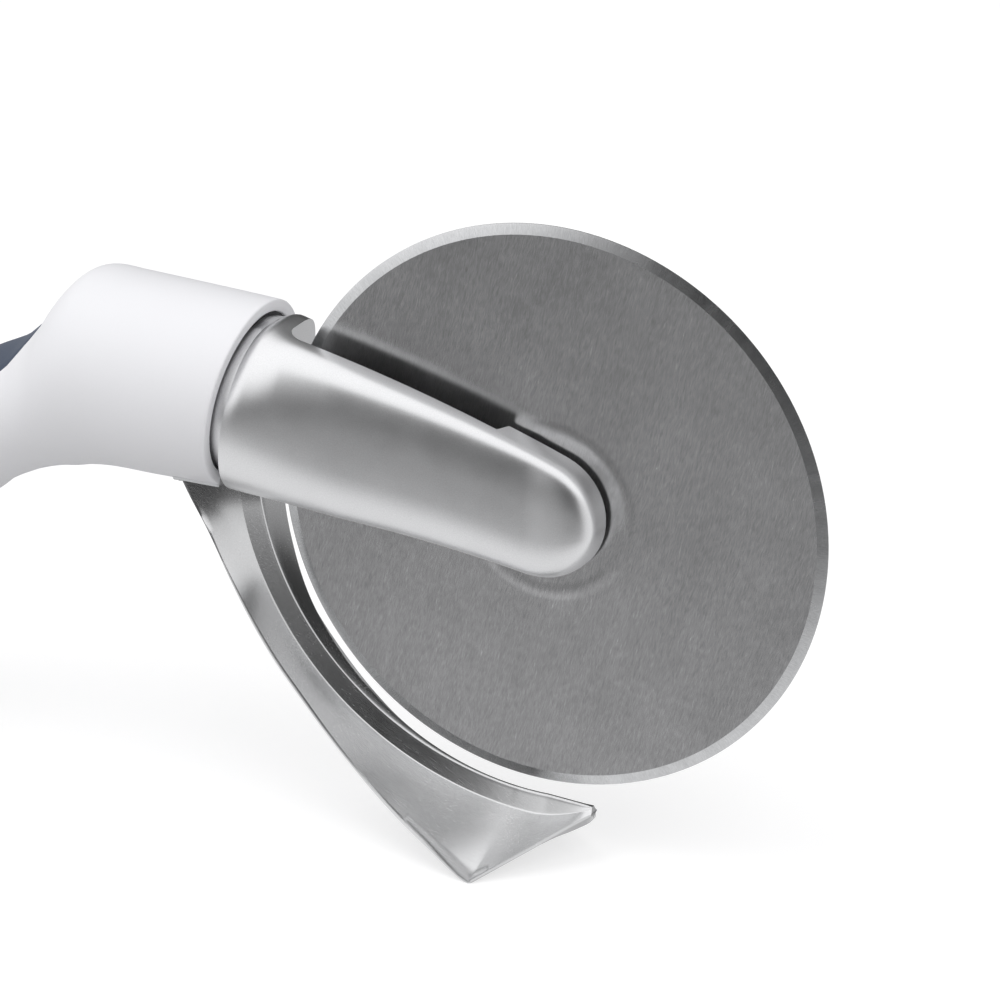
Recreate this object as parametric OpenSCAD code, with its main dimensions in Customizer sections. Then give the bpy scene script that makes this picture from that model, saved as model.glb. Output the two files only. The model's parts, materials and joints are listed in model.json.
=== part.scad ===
// Pizza cutter wheel: a round blade on a one-sided cast arm, with a guard foot
// below the blade and an overmoulded handle. It stands on the two corners of
// the foot and on the butt of the handle.
// Everything is modelled about the blade's centre, +X to the blade, -Y to the
// side of the arm and +Z up, and is then set down on the table.

/* [Blade] */
// Diameter of the blade
blade_d = 100; // [94:1:104]
// Thickness of the blade
blade_t = 1; // [0.8:0.1:1.4]
// Width of the ground edge on each side
bevel_w = 1.85; // [1:0.05:3]
// Thickness left at the cutting edge
edge_t = 0.16; // [0.1:0.02:0.3]
// Radius of the middle of the pressed ring round the hub
bead_r = 14.6; // [13:0.1:20]
// Width of the pressed ring
bead_w = 3.6; // [2:0.1:5]
// Height of the pressed ring towards the arm
bead_h = 0.25; // [0.1:0.05:0.6]

/* [Hub and axle] */
// Outer diameter of the sleeve that the wheel turns on
sleeve_d = 8; // [7:0.1:9]
// Diameter of the axle screw
axle_d = 5; // [4:0.1:5.6]
// Running clearance between the sleeve and the hub
run_gap = 0.05; // [0.02:0.01:0.09]
// Diameter of the blade's centre hole
blade_hole_d = 12; // [11:0.1:14]
// Diameter of the hub's flanges
hub_d = 17; // [15:0.1:20]
// Thickness of each hub flange
hub_flange_t = 0.7; // [0.5:0.05:0.8]
// Thickness of each thrust washer
washer_t = 0.3; // [0.2:0.05:0.4]
// Play on each side of a washer
washer_play = 0.05; // [0.03:0.01:0.1]
// Diameter of the axle screw's head
axle_head_d = 16; // [13:0.5:20]
// Height of the axle screw's head
axle_head_h = 2.6; // [2:0.1:4]
// Size across the flats of the hexagon in the screw's head
hex_w = 3; // [2.5:0.1:4]
// How far the axle screw goes into the arm
axle_grip = 5; // [3:0.1:5.4]

/* [Arm] */
// Radius of the arm's round end
arm_end_r = 11.1; // [10.5:0.1:12]
// How far the end's centre lies above the axle
arm_end_rise = 0.25; // [0:0.05:0.5]
// Radius of the arched top edge
arm_top_r = 340; // [300:10:500]
// Radius of the arched lower edge
arm_low_r = 300; // [270:10:400]
// Direction in which the top edge leaves the round end
arm_top_turn = 69; // [68:0.5:70]
// Slope with which the lower edge leaves the round end
arm_low_turn = 11.5; // [11:0.1:12.5]
// Depth of the arm's outer face at the axle
arm_crown = 8.5; // [7.8:0.1:10]
// Depth of the arm's outer face at the root
root_crown = 14.5; // [13:0.1:14.8]
// Distance from the blade's middle to the arm's inner face
slot_near = 4.7; // [4:0.1:5]
// Reach of the root's far side at the end of the slot
slot_far = 8.4; // [7.5:0.1:9]
// Radius of the slot's inner corner
slot_fillet = 4; // [3:0.1:4.4]
// Length of the root from the flange to the slot
root_l = 5.3; // [4.6:0.1:5.5]
// How much the root's top edge is rounded at the collar
root_round = 0.8; // [0.5:0.1:2]
// Width of the flange that shows in front of the collar
band_l = 1.7; // [1.2:0.1:2.2]
// Radius of the flange that fills the collar's mouth
flange_r = 13.8; // [13.6:0.05:13.95]
// Length of the flange inside the collar
flange_l = 3.2; // [2.5:0.1:3.4]
// Radius of the plug in the collar
plug_r = 13.3; // [12.5:0.05:13.35]
// How far back the plug ends behind the mouth
plug_l = 23; // [20:1:25]
// Height of the tang
tang_h = 12; // [8:0.5:13]
// Width of the tang
tang_w = 9; // [6:0.5:11]
// Distance from the mouth to the tang's end
tang_l = 78; // [66:1:95]
// Diameter of the anchor holes in the tang
anchor_d = 5; // [3:0.5:6]

/* [Handle] */
// Distance from the blade's centre back to the collar's mouth
mouth_back = 56.1; // [55.8:0.1:58]
// Height of the mouth's centre above the blade's centre
mouth_rise = 12.35; // [12:0.05:12.7]
// Lean of the mouth's plane
mouth_tilt = 11; // [8:0.5:13]
// Outer radius of the collar at its mouth
collar_r = 16.65; // [16.55:0.05:18]
// Wall of the collar's lip
lip_t = 2.15; // [2:0.05:2.3]
// Depth of the wide part of the mouth
lip_l = 4; // [3.6:0.1:8]
// Distance from the mouth to the middle of the butt
handle_l = 140; // [125:1:160]
// Radius of the butt
butt_r = 13.5; // [12.5:0.1:15]
// Wall of the white shell over the core
shell_t = 2.4; // [1.8:0.1:2.8]
// Diameter of the hanging hole
hang_d = 8; // [5:0.5:10]
// Chamfer at the hanging hole's ends
hang_chamfer = 1.5; // [0.5:0.1:2]

/* [Grip pad] */
// Distance from the mouth to the pad's front end
pad_start = 36.4; // [35:0.1:44]
// Distance from the butt's middle to the pad's rear end
pad_stop = 22; // [18:1:34]
// Half width of the pad, as an angle round the handle
pad_angle = 58; // [40:1:70]

/* [Guard foot] */
// Height of the blade's centre above the table
hub_h = 64.1; // [63:0.1:66]
// Gap between the blade and the foot's rib
foot_gap = 2.3; // [1.5:0.1:3]
// Height of the rib above the wings
rib_h = 4; // [3:0.1:4.6]
// Half width of the rib's crest at the collar
rib_wide = 5; // [4.4:0.1:5.4]
// Half width of the rib's crest near the tip
rib_thin = 0.5; // [0.4:0.1:1]
// Draft of the rib's sides, as the width gained at the base
rib_draft = 1; // [0.5:0.1:1.4]
// Width of the foot across its corners
foot_w = 34; // [30:1:40]
// Width of the foot at the collar
foot_top_w = 16; // [15:0.5:17]
// How far the corners lie behind the blade's centre
corner_back = 7.6; // [6:0.1:9]
// How far the tip lies in front of the blade's centre
tip_front = 9.6; // [7:0.1:11]
// Height of the tip's underside above the table
tip_rise = 9.7; // [9:0.1:10.5]
// Thickness of the wings
wing_t = 2.4; // [1.8:0.1:3]
// Thickness of the wings' edges
wing_edge_t = 0.8; // [0.6:0.1:1.2]
// Distance from the blade's centre back to the wings' upper ends
wing_back = 66.6; // [66:0.1:68]
// Depth of the flats that the corners stand on
foot_flat = 0.3; // [0.2:0.1:0.5]
// How far the foot's stem reaches into the arm, above the blade's centre
stem_rise = 3; // [2:0.5:4]
// Thickness of the gasket round the stem
gasket_t = 1; // [0.8:0.1:1.4]
// How far the gasket stands out of the collar
gasket_lip = 0.4; // [0.2:0.1:1]

/* [Fixings] */
// Diameter of the foot screws
foot_screw_d = 3; // [2.5:0.5:3]
// Diameter of their heads
foot_head_d = 5.5; // [5:0.1:5.8]
// Height of their heads
foot_head_h = 3; // [2:0.1:4]
// Length of their shanks
foot_screw_l = 10; // [8:0.5:10]
// Distance between the foot screws
foot_screw_gap = 6.4; // [6.2:0.1:6.6]

/* [Hidden] */
$fn = 72;

// Overrun of every cut
cut = 1;
// Clearance between pieces that are fitted by hand
fit_gap = 0.15;
// Clearance between a moulded piece and what it is moulded round
mould_gap = 0.05;
// Recess of the seal behind the lip, and overlap of the flange and the arm's root
mouth_step = 0.5;
rim_overlap = 0.5;

// The wheel and its axle
blade_r = blade_d / 2;
sleeve_r = sleeve_d / 2;
hub_half = blade_t / 2 + hub_flange_t;
seat = hub_half + washer_t + 2 * washer_play;

// Centres of the two large circles that the arm's edges follow
top_cx = -(arm_top_r - arm_end_r) * cos(arm_top_turn);
top_cz = arm_end_rise - (arm_top_r - arm_end_r) * sin(arm_top_turn);
low_cx = -(arm_low_r + arm_end_r) * sin(arm_low_turn);
low_cz = arm_end_rise - (arm_low_r + arm_end_r) * cos(arm_low_turn);

// Places along the arm, taken at the middle of its height
root_mid_share = 0.88;
root_x = band_l - mouth_back - tan(mouth_tilt) * mouth_rise * (1 - root_mid_share);
slot_x = root_x + root_l;
lean_end_x = slot_x + 2.7 * root_l;
boss_x = -0.59 * arm_end_r;
boss_ramp = 0.4;
arm_wall = 0.5;
arm_square = 3.2;
root_square = 2.1;
stub_square = 5;
root_ease = 2.5;
arm_steps = 12;

// The foot's corner, tip and the circle that its wings' rear edges follow
corner_z = -hub_h - foot_flat;
tip_z = tip_rise - hub_h;
crest_r = blade_r + foot_gap;
foot_start = 181.5;
corner_turn = 180 + atan2(-corner_z, corner_back);
flare = norm([corner_back, corner_z]) - crest_r - rib_h;
tip_droop = 0.07;
// Outline of the wings from the collar to the corners: where, half width as a
// share of the corners', and distance from the rib's base as a share of theirs
turn_shares = [0, 0.1, 0.2, 0.3, 0.4, 0.5, 0.6, 0.7, 0.8, 0.9, 1];
half_shares = [foot_top_w / foot_w, 0.53, 0.569, 0.588, 0.587, 0.583, 0.605, 0.659, 0.767, 0.907, 1];
flare_shares = [(wing_back - crest_r - rib_h) / flare,
                0.669, 0.385, 0.231, 0.172, 0.166, 0.243, 0.361, 0.491, 0.64, 1];
rib_fade = 260;
rib_narrowing = 1.6;
foot_steps = 20;
front_steps = 7;
crest_edge = 0.35;
crest_crown = 0.03;
// Extra room in front of the stem, where the crest leaves the arm
crest_play = 0.4;
rib_fillet = 1;
rib_fillet_least = 0.1;
stem_inset = 0.25;
stem_bulge = 1.2;
stem_low = -2.8;
stem_back = wing_back + stem_bulge;
stem_half = foot_top_w / 2 + stem_inset;

// The handle's middle line and outline, as shares of its length, of its whole
// drop and of the collar's or the butt's radius
drop = mouth_rise + hub_h - butt_r;
run_shares = [0, 0.10, 0.172, 0.208, 0.229, 0.251, 0.272, 0.294, 0.315, 0.344, 0.372,
              0.458, 0.565, 0.708, 0.851, 1];
drop_shares = [0, -0.009, -0.016, -0.014, 0.002, 0.032, 0.072, 0.104, 0.134, 0.165, 0.197,
               0.303, 0.441, 0.623, 0.807, 1];
high_shares = [1, 1.031, 1.046, 1.066, 1.046, 0.963, 0.855, 0.798, 0.759, 0.734, 0.717,
               0.956, 1.03, 1.037, 1.007, 1];
wide_shares = [1, 1.031, 1.046, 1.052, 1.03, 0.98, 0.93, 0.87, 0.81, 0.77, 0.76,
               0.95, 1.02, 1.03, 1, 0.95];
neck_rows = 11;
collar_run = 0.17;
neck_run = 0.3;
grip_run = 0.45;
handle_sides = 28;
core_sides = 20;
pad_gap = 0.15;
butt_steps = 6;
last = len(run_shares) - 1;
butt_x = -mouth_back - handle_l;
butt_z = mouth_rise - drop;
grip_slope = atan2(drop * (drop_shares[last] - drop_shares[last - 1]),
                   handle_l * (run_shares[last] - run_shares[last - 1]));
tang_run = 0.372;
core_end_share = 0.87;

// The part is set down with the middle of its box over the origin
back_x = butt_x - butt_r;
hub_x = -(back_x + blade_r) / 2;

function clamp01(v) = min(1, max(0, v));
function ease(v) = let (u = clamp01(v)) u * u * (3 - 2 * u);
function mix(a, b, u) = a + (b - a) * u;
function bulge(c, n) = sign(c) * pow(abs(c), 2 / n);
function backwards(list) = [for (i = [len(list) - 1 : -1 : 0]) list[i]];

// Smooth curve through the points (xs, ys), which are in rising order of xs
function slope_at(xs, ys, i) =
    let (a = max(0, i - 1), b = min(len(xs) - 1, i + 1)) (ys[b] - ys[a]) / (xs[b] - xs[a]);
function row_of(xs, x, i = 0) = i >= len(xs) - 2 || x < xs[i + 1] ? i : row_of(xs, x, i + 1);
function curve(xs, ys, x) =
    let (i = row_of(xs, x), w = xs[i + 1] - xs[i], u = (x - xs[i]) / w,
         m = slope_at(xs, ys, i) * w, n = slope_at(xs, ys, i + 1) * w)
    ys[i] * (1 + 2 * u) * (1 - u) * (1 - u) + m * u * (1 - u) * (1 - u)
    + ys[i + 1] * u * u * (3 - 2 * u) - n * u * u * (1 - u);

// Closed skin over rings of points that all have the same count
module skin(rings) {
    n = len(rings[0]);
    m = len(rings);
    sides = [for (i = [0 : m - 2], j = [0 : n - 1])
        let (a = i * n + j, b = i * n + (j + 1) % n)
        each [[a, b, b + n], [a, b + n, a + n]]];
    ends = [[for (j = [n - 1 : -1 : 0]) j], [for (j = [0 : n - 1]) (m - 1) * n + j]];
    polyhedron([for (r = rings) each r], concat(sides, ends), convexity = 8);
}

module on_axle() {
    rotate([-90, 0, 0]) children();
}

// Half space in front of the mouth's plane, moved forward by s
module mouth_side(s) {
    size = 6 * collar_r;
    translate([-mouth_back, 0, mouth_rise]) rotate([0, mouth_tilt, 0])
        translate([s, -size / 2, -size / 2]) cube(size);
}

// Round bar along the collar, from its end behind the mouth to one in front of it
module collar_bar(r, behind, front) {
    translate([-mouth_back - behind, 0, mouth_rise]) rotate([0, 90, 0])
        cylinder(r = r, h = behind + front);
}

// Wheel

function bead(r) = let (u = abs(r - bead_r) / (bead_w / 2)) u < 1 ? bead_h * (1 + cos(180 * u)) / 2 : 0;

module blade_disc() {
    bead_steps = 8;
    rs = [for (i = [-bead_steps : bead_steps]) bead_r + bead_w / 2 * i / bead_steps];
    near = [for (r = rs) [r, -blade_t / 2 - bead(r)]];
    far = backwards([for (r = rs) [r, blade_t / 2 - bead(r)]]);
    color([0.62, 0.63, 0.64]) rotate([90, 0, 0]) mirror([0, 0, 1])
        rotate_extrude() polygon(concat(
            [[blade_hole_d / 2, -blade_t / 2]], near,
            [[blade_r - bevel_w, -blade_t / 2], [blade_r, -edge_t / 2],
             [blade_r, edge_t / 2], [blade_r - bevel_w, blade_t / 2]],
            far, [[blade_hole_d / 2, blade_t / 2]]));
}

module blade_hub() {
    bore = sleeve_r + run_gap;
    rim = blade_hole_d / 2;
    color([0.2, 0.2, 0.21]) rotate([90, 0, 0]) rotate_extrude() polygon([
        [bore, -hub_half], [hub_d / 2, -hub_half], [hub_d / 2, -blade_t / 2], [rim, -blade_t / 2],
        [rim, blade_t / 2], [hub_d / 2, blade_t / 2], [hub_d / 2, hub_half], [bore, hub_half]]);
}

module thrust_washer() {
    translate([0, 0, hub_half + washer_play]) difference() {
        cylinder(d = hub_d, h = washer_t);
        translate([0, 0, -cut]) cylinder(r = sleeve_r + run_gap, h = washer_t + 2 * cut);
    }
}

module near_washer() {
    color([0.9, 0.9, 0.88]) mirror([0, 1, 0]) on_axle() thrust_washer();
}

module far_washer() {
    color([0.9, 0.9, 0.88]) on_axle() thrust_washer();
}

module axle_sleeve() {
    color([0.7, 0.71, 0.73]) on_axle() translate([0, 0, -seat]) difference() {
        cylinder(r = sleeve_r, h = 2 * seat);
        translate([0, 0, -cut]) cylinder(d = axle_d + fit_gap, h = 2 * (seat + cut));
    }
}

// Screw from the far side, with a low domed head
module axle_screw() {
    dome_r = (axle_head_d * axle_head_d / 4 + axle_head_h * axle_head_h) / (2 * axle_head_h);
    color([0.72, 0.73, 0.75]) on_axle() {
        difference() {
            intersection() {
                translate([0, 0, seat]) cylinder(d = axle_head_d, h = axle_head_h);
                translate([0, 0, seat + axle_head_h - dome_r]) sphere(r = dome_r);
            }
            translate([0, 0, seat + axle_head_h / 3])
                cylinder(d = hex_w / cos(30), h = axle_head_h, $fn = 6);
        }
        translate([0, 0, -seat - axle_grip]) cylinder(d = axle_d, h = 2 * seat + axle_grip + edge_t);
    }
}

// Arm

function arm_top(x) = x > arm_end_r * cos(arm_top_turn)
    ? arm_end_rise + sqrt(max(0, arm_end_r * arm_end_r - x * x))
    : top_cz + sqrt(arm_top_r * arm_top_r - (x - top_cx) * (x - top_cx));
function arm_low(x) = x > -arm_end_r * sin(arm_low_turn)
    ? arm_end_rise - sqrt(max(0, arm_end_r * arm_end_r - x * x))
    : low_cz + sqrt(arm_low_r * arm_low_r - (x - low_cx) * (x - low_cx));

// Lean of a section, so that the first one lies in the plane of the mouth
function arm_lean(x) = tan(mouth_tilt) * clamp01((lean_end_x - x) / (lean_end_x - root_x));
function near_root(x) = 1 - sin(90 * clamp01((x - root_x) / root_ease));

// Distance from the blade's middle to the arm's inner face
function inner_y(x) = x <= slot_x ? slot_near - slot_fillet
    : x < slot_x + slot_fillet
        ? slot_near - slot_fillet + sqrt(slot_fillet * slot_fillet - pow(slot_x + slot_fillet - x, 2))
        : mix(slot_near, seat, ease((x - boss_x) / (2 * boss_ramp) + 1 / 2));
function outer_y(x) = mix(arm_crown, root_crown, pow(max(0, -x) / mouth_back, 1.1))
    - near_root(x) * (root_round / 4);
function base_y(x) = arm_wall
    + mix(slot_near - slot_fillet, slot_near, ease((x - root_x) / (root_l + slot_fillet)));
function arm_squareness(x) =
    mix(arm_square, root_square, clamp01((lean_end_x - x) / (lean_end_x - root_x)));
function tip_fade(x) = x <= 0 ? 1 : pow(max(0, 1 - pow(x / arm_end_r, arm_square)), 1 / arm_square);

// The lower half of a section is rounder: it starts from the root's inner face
function arm_ring(x, stub) =
    let (lean = arm_lean(x), reach = collar_r * root_mid_share,
         top = arm_top(x + lean * reach) - near_root(x) * root_round,
         low = arm_low(x - lean * reach),
         mid = (top + low) / 2, half = (top - low) / 2, n = arm_squareness(x),
         out = base_y(x) + (outer_y(x) - base_y(x)) * tip_fade(x), low_y = slot_near - slot_fillet,
         stop = acos(pow(max(0, inner_y(x) - low_y) / (out - low_y), n / 2)),
         far = mix(slot_far, root_crown, pow(clamp01((slot_x - x) / root_l), 1.3)),
         m = mix(stub_square, root_square, clamp01((slot_x - x) / root_l)))
    [for (k = [0 : arm_steps])
        let (a = k <= arm_steps / 2 ? 90 - 180 * k / arm_steps : stop * (1 - 2 * k / arm_steps),
             from = a > 0 ? base_y(x) : low_y, v = half * bulge(sin(a), n))
        [x + lean * v, -mix(from, out, bulge(cos(a), n)), mid + v],
     for (k = [1 : arm_steps])
        let (a = 180 * k / arm_steps - 90, v = half * bulge(sin(a), m),
             w = half * mix(-bulge(sin(stop), n), 1, (1 + bulge(sin(a), m)) / 2))
        stub ? [x + lean * v, mix(-inner_y(x), far, bulge(cos(a), m)), mid + v]
             : [x + lean * w, -inner_y(x), mid + w]];

module arm_body() {
    root_xs = [for (u = [0, 0.12, 0.3, 0.55, 0.8, 1]) root_x + root_ease * u];
    stub_xs = [for (u = [1 / 3, 2 / 3, 1]) mix(root_x + root_ease, slot_x, u)];
    fillet_xs = [for (a = [12 : 19.5 : 90]) slot_x + slot_fillet * (1 - cos(a))];
    long_xs = [for (i = [1 : 6]) mix(slot_x + slot_fillet, boss_x - boss_ramp, i / 7)];
    ramp_xs = [for (i = [0 : 4]) boss_x + boss_ramp * (i / 2 - 1)];
    boss_xs = [for (i = [1 : 3]) mix(boss_x + boss_ramp, 0, i / 3)];
    end_xs = [for (a = [15, 28, 40, 50, 59, 67, 74, 80, 85]) arm_end_r * sin(a)];
    skin(backwards(concat(
        [for (x = concat(root_xs, stub_xs)) arm_ring(x, true)],
        [for (x = concat(fillet_xs, long_xs, ramp_xs, boss_xs, end_xs)) arm_ring(x, false)])));
}

// The tang runs along the handle's middle line, from inside the plug
module tang(gap) {
    pivot_x = -mouth_back - handle_l * tang_run;
    pivot_z = mouth_rise - drop * curve(run_shares, drop_shares, tang_run);
    ahead = (pivot_x + mouth_back + plug_l * 0.8) / -cos(grip_slope);
    behind = (mouth_back + tang_l + pivot_x) / cos(grip_slope);
    translate([pivot_x, 0, pivot_z]) rotate([0, -grip_slope, 0])
        translate([-behind - gap, -tang_w / 2 - gap, -tang_h / 2 - gap])
            cube([behind + ahead + 2 * gap, tang_w + 2 * gap, tang_h + 2 * gap]);
}

module anchor_holes(d) {
    slope_share = [0.42, 0.5];
    for (u = slope_share)
        translate([-mouth_back - handle_l * u, 0, mouth_rise - drop * curve(run_shares, drop_shares, u)])
            rotate([90, 0, 0]) cylinder(d = d, h = tang_w + 2 * cut, center = true);
}

// Outline of the foot's stem from above, grown by g and by ahead in front
function stem_outline(g, ahead) =
    let (front = [[-crest_r, rib_wide], [-crest_r - rib_h, rib_wide + rib_draft], [-wing_back, stem_half]],
         back = [for (a = [20 : 20 : 160])
             [-wing_back - (stem_back - wing_back + g) * sin(a), (stem_half + g) * cos(a)]])
    concat([for (p = front) [p[0] + (p[0] == -crest_r ? g + ahead : 0), p[1] + g]], back,
           [for (i = [2 : -1 : 0]) [front[i][0] + (i == 0 ? g + ahead : 0), -front[i][1] - g]]);

module stem(g, low, high, ahead = 0) {
    translate([0, 0, low]) linear_extrude(high - low) polygon(stem_outline(g, ahead));
}

module at_foot_screws() {
    for (s = [-1, 1])
        translate([-(crest_r + rib_h + wing_back) / 2 + s * foot_screw_gap / 2, 0, 0])
            children();
}

module arm() {
    head_z = stem_rise + foot_screw_l / 2;
    color([0.74, 0.75, 0.76]) difference() {
        union() {
            arm_body();
            difference() {
                union() {
                    collar_bar(plug_r, plug_l, collar_r);
                    intersection() {
                        collar_bar(flange_r, plug_l, collar_r);
                        mouth_side(-flange_l);
                    }
                }
                mouth_side(band_l + rim_overlap);
            }
            tang(0);
        }
        stem(fit_gap, -collar_r, stem_rise + fit_gap, crest_play);
        at_foot_screws() {
            cylinder(d = foot_screw_d + 2 * fit_gap, h = head_z);
            translate([0, 0, head_z]) cylinder(d = foot_head_d + 2 * fit_gap, h = 2 * collar_r);
        }
        on_axle() translate([0, 0, -seat - axle_grip - 2 * fit_gap])
            cylinder(d = axle_d + fit_gap, h = axle_grip + 2 * fit_gap + cut);
        anchor_holes(anchor_d);
    }
}

// Soft ring between the flange and the lip
module arm_seal() {
    color([0.13, 0.13, 0.14]) difference() {
        intersection() {
            collar_bar(collar_r - lip_t - mould_gap, 2 * lip_l, collar_r);
            mouth_side(-flange_l);
        }
        collar_bar(flange_r + mould_gap, 3 * lip_l, 2 * collar_r);
        mouth_side(-mouth_step);
        stem(gasket_t + 2 * fit_gap, -collar_r, collar_r / 2);
    }
}

// Guard foot

function crest_half(a) =
    mix(rib_thin, rib_wide, pow(clamp01((rib_fade - a) / (rib_fade - foot_start)), rib_narrowing));

// One section of the foot in the plane through the axle at angle a: the wing's
// edge is at radius edge and half width half, and the rib is rib high
function foot_half_ring(a, edge, half, rib) =
    let (rc = a < 270 ? crest_r : -(crest_r + tip_droop * (a - 270)) / sin(a),
         wc = min(crest_half(a), half / 2), scale_share = rib / rib_h,
         open = ease((a - foot_start - 6) / 22),
         rb = rc + rib, wb = wc + rib_draft * scale_share,
         f = rib_fillet * scale_share * max(open, rib_fillet_least),
         run = norm([edge - rb, half - wb]), nr = (half - wb) / run, ny = (edge - rb) / run,
         bev = min(crest_edge, wc / 2, rib / 3),
         mid_r = mix(rb, edge, 0.5), mid_w = mix(wb, half, 0.5))
    [[rc, wc - bev], [rc + bev, wc], [rb - f, wb - f * rib_draft / rib_h], [rb - f * 0.3, wb + f * 0.3],
     [mix(rb, edge, f / run), mix(wb, half, f / run)], [mid_r, mid_w],
     [edge - wing_edge_t * nr, half], [edge, half - wing_edge_t * ny],
     [mix(edge + (stem_back - wing_back) * 0.8, mid_r + wing_t * nr, open),
      mix(half * 0.6, max(mid_w - wing_t * ny, half / 4), open)]];
function foot_ring(a, edge, half, rib) =
    let (side = foot_half_ring(a, edge, half, rib), n = len(side),
         rc = side[0][0], crown = side[0][1] * crest_crown, open = ease((a - foot_start - 6) / 22),
         under = mix(edge + stem_back - wing_back, min(rc + rib + wing_t, edge), open),
         all = concat([[rc - crown, 0]], [for (p = side) [p[0], -p[1]]], [[under, 0]],
                      backwards(side)))
    [for (p = all) [p[0] * cos(a), p[1], p[0] * sin(a)]];

module foot_body() {
    rear = [for (i = [0 : foot_steps])
        let (u = i / foot_steps, a = mix(foot_start, corner_turn, u))
        foot_ring(a, crest_r + rib_h + flare * curve(turn_shares, flare_shares, u),
                  foot_w / 2 * curve(turn_shares, half_shares, u), rib_h)];
    front = [for (i = [1 : front_steps])
        let (q = mix(1, 0.06, i / front_steps),
             x = mix(tip_front, -corner_back, q), z = mix(tip_z, corner_z, q))
        foot_ring(180 + atan2(-z, -x), norm([x, z]), mix(rib_thin, foot_w / 2, q),
                  rib_h * sin(90 * clamp01(q / 0.7)))];
    skin(backwards(concat(rear, front)));
}

module guard_foot() {
    color([0.78, 0.79, 0.8]) difference() {
        union() {
            foot_body();
            stem(-stem_inset, stem_low, stem_rise);
        }
        translate([-blade_r, -foot_w, -hub_h - foot_w]) cube([2 * blade_r, 2 * foot_w, foot_w]);
        at_foot_screws() translate([0, 0, stem_rise + foot_screw_l / 2 - foot_screw_l - cut])
            cylinder(d = foot_screw_d + fit_gap, h = foot_screw_l + cut);
    }
}

// Rim round the stem, where the foot enters the collar
module foot_gasket() {
    color([0.86, 0.87, 0.88]) difference() {
        intersection() {
            difference() {
                stem(gasket_t, -collar_r, collar_r / 4);
                stem(fit_gap, -collar_r - cut, collar_r / 4 + cut);
            }
            collar_bar(collar_r + gasket_lip, 2 * plug_l, 0);
        }
        collar_bar(flange_r + 2 * fit_gap, 3 * plug_l, plug_l);
        mouth_side(-fit_gap);
    }
}

module foot_screws() {
    color([0.55, 0.56, 0.58]) at_foot_screws()
        translate([0, 0, stem_rise + foot_screw_l / 2]) {
            translate([0, 0, -foot_screw_l]) cylinder(d = foot_screw_d, h = foot_screw_l + cut);
            difference() {
                cylinder(d = foot_head_d, h = foot_head_h);
                translate([0, 0, foot_head_h / 2]) cylinder(d = hex_w / cos(30), h = foot_head_h, $fn = 6);
            }
        }
}

// Handle

// Lean of a section at u: along the mouth's plane in front, square to the grip behind
function handle_lean(u) =
    mouth_tilt * (1 - ease(u / collar_run)) - grip_slope * ease((u - neck_run) / (grip_run - neck_run));
function handle_share(shares, u) =
    let (sizes = [for (i = [0 : last]) shares[i] * (i < neck_rows ? collar_r : butt_r)])
    curve(run_shares, sizes, u);

function handle_ring(u, wall, sides, tail = 0) =
    let (turn = handle_lean(u), fade = cos(tail), past = sin(tail) * (butt_r - wall),
         cx = -mouth_back - handle_l * u - past * cos(grip_slope),
         cz = mouth_rise - drop * curve(run_shares, drop_shares, u) - past * sin(grip_slope),
         high = (handle_share(high_shares, u) - wall) * fade * (turn < 0 ? cos(turn) : 1),
         wide = (handle_share(wide_shares, u) - wall) * fade)
    [for (k = [0 : sides - 1])
        let (a = -360 * k / sides, v = high * cos(a)) [cx + tan(turn) * v, wide * sin(a), cz + v]];

module outer_form() {
    us = [for (i = [0 : last - 1], h = [0, 1 / 2]) mix(run_shares[i], run_shares[i + 1], h)];
    skin(concat([for (u = concat(us, [1])) handle_ring(u, 0, handle_sides)],
                [for (i = [1 : butt_steps]) handle_ring(1, 0, handle_sides, 85 * i / butt_steps)]));
}

module core_form(gap) {
    from = (plug_l + gap) / handle_l;
    us = concat([from], [for (u = run_shares) if (u > from && u < core_end_share) u], [core_end_share]);
    skin([for (u = us) handle_ring(u, shell_t + gap, core_sides)]);
}

module handle_core() {
    color([0.82, 0.83, 0.85]) difference() {
        core_form(mould_gap);
        difference() {
            tang(mould_gap);
            anchor_holes(anchor_d - 2 * mould_gap);
        }
    }
}

module handle_shell() {
    color([0.95, 0.96, 0.97]) difference() {
        outer_form();
        intersection() {
            collar_bar(collar_r - lip_t, 2 * lip_l, collar_r);
            mouth_side(-lip_l);
        }
        collar_bar(plug_r + mould_gap, plug_l + mould_gap, collar_r);
        core_form(0);
        pad_form(0.4, true);
        stem(gasket_t + mould_gap, -2 * collar_r, collar_r / 4);
        translate([butt_x, 0, butt_z]) rotate([90, 0, 0]) {
            cylinder(d = hang_d, h = 4 * butt_r, center = true);
            for (s = [0, 1]) mirror([0, 0, s])
                translate([0, 0, butt_r * wide_shares[last] - hang_chamfer])
                    cylinder(r1 = hang_d / 2, r2 = hang_d / 2 + 2 * hang_chamfer, h = 2 * hang_chamfer);
        }
    }
}

// Soft pad over the top of the grip: a strip of the handle's skin with a round
// nose and tail, which lies on the core
function pad_width(u, grow) =
    let (a = pad_start / handle_l, b = 1 - pad_stop / handle_l, nose = 0.16, tail = 0.08,
         p = clamp01((u - a) / nose), q = clamp01((b - u) / tail))
    grow + pad_angle * sqrt(max(0, 1 - (1 - p) * (1 - p))) * sqrt(max(0, 1 - (1 - q) * (1 - q)));

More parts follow.
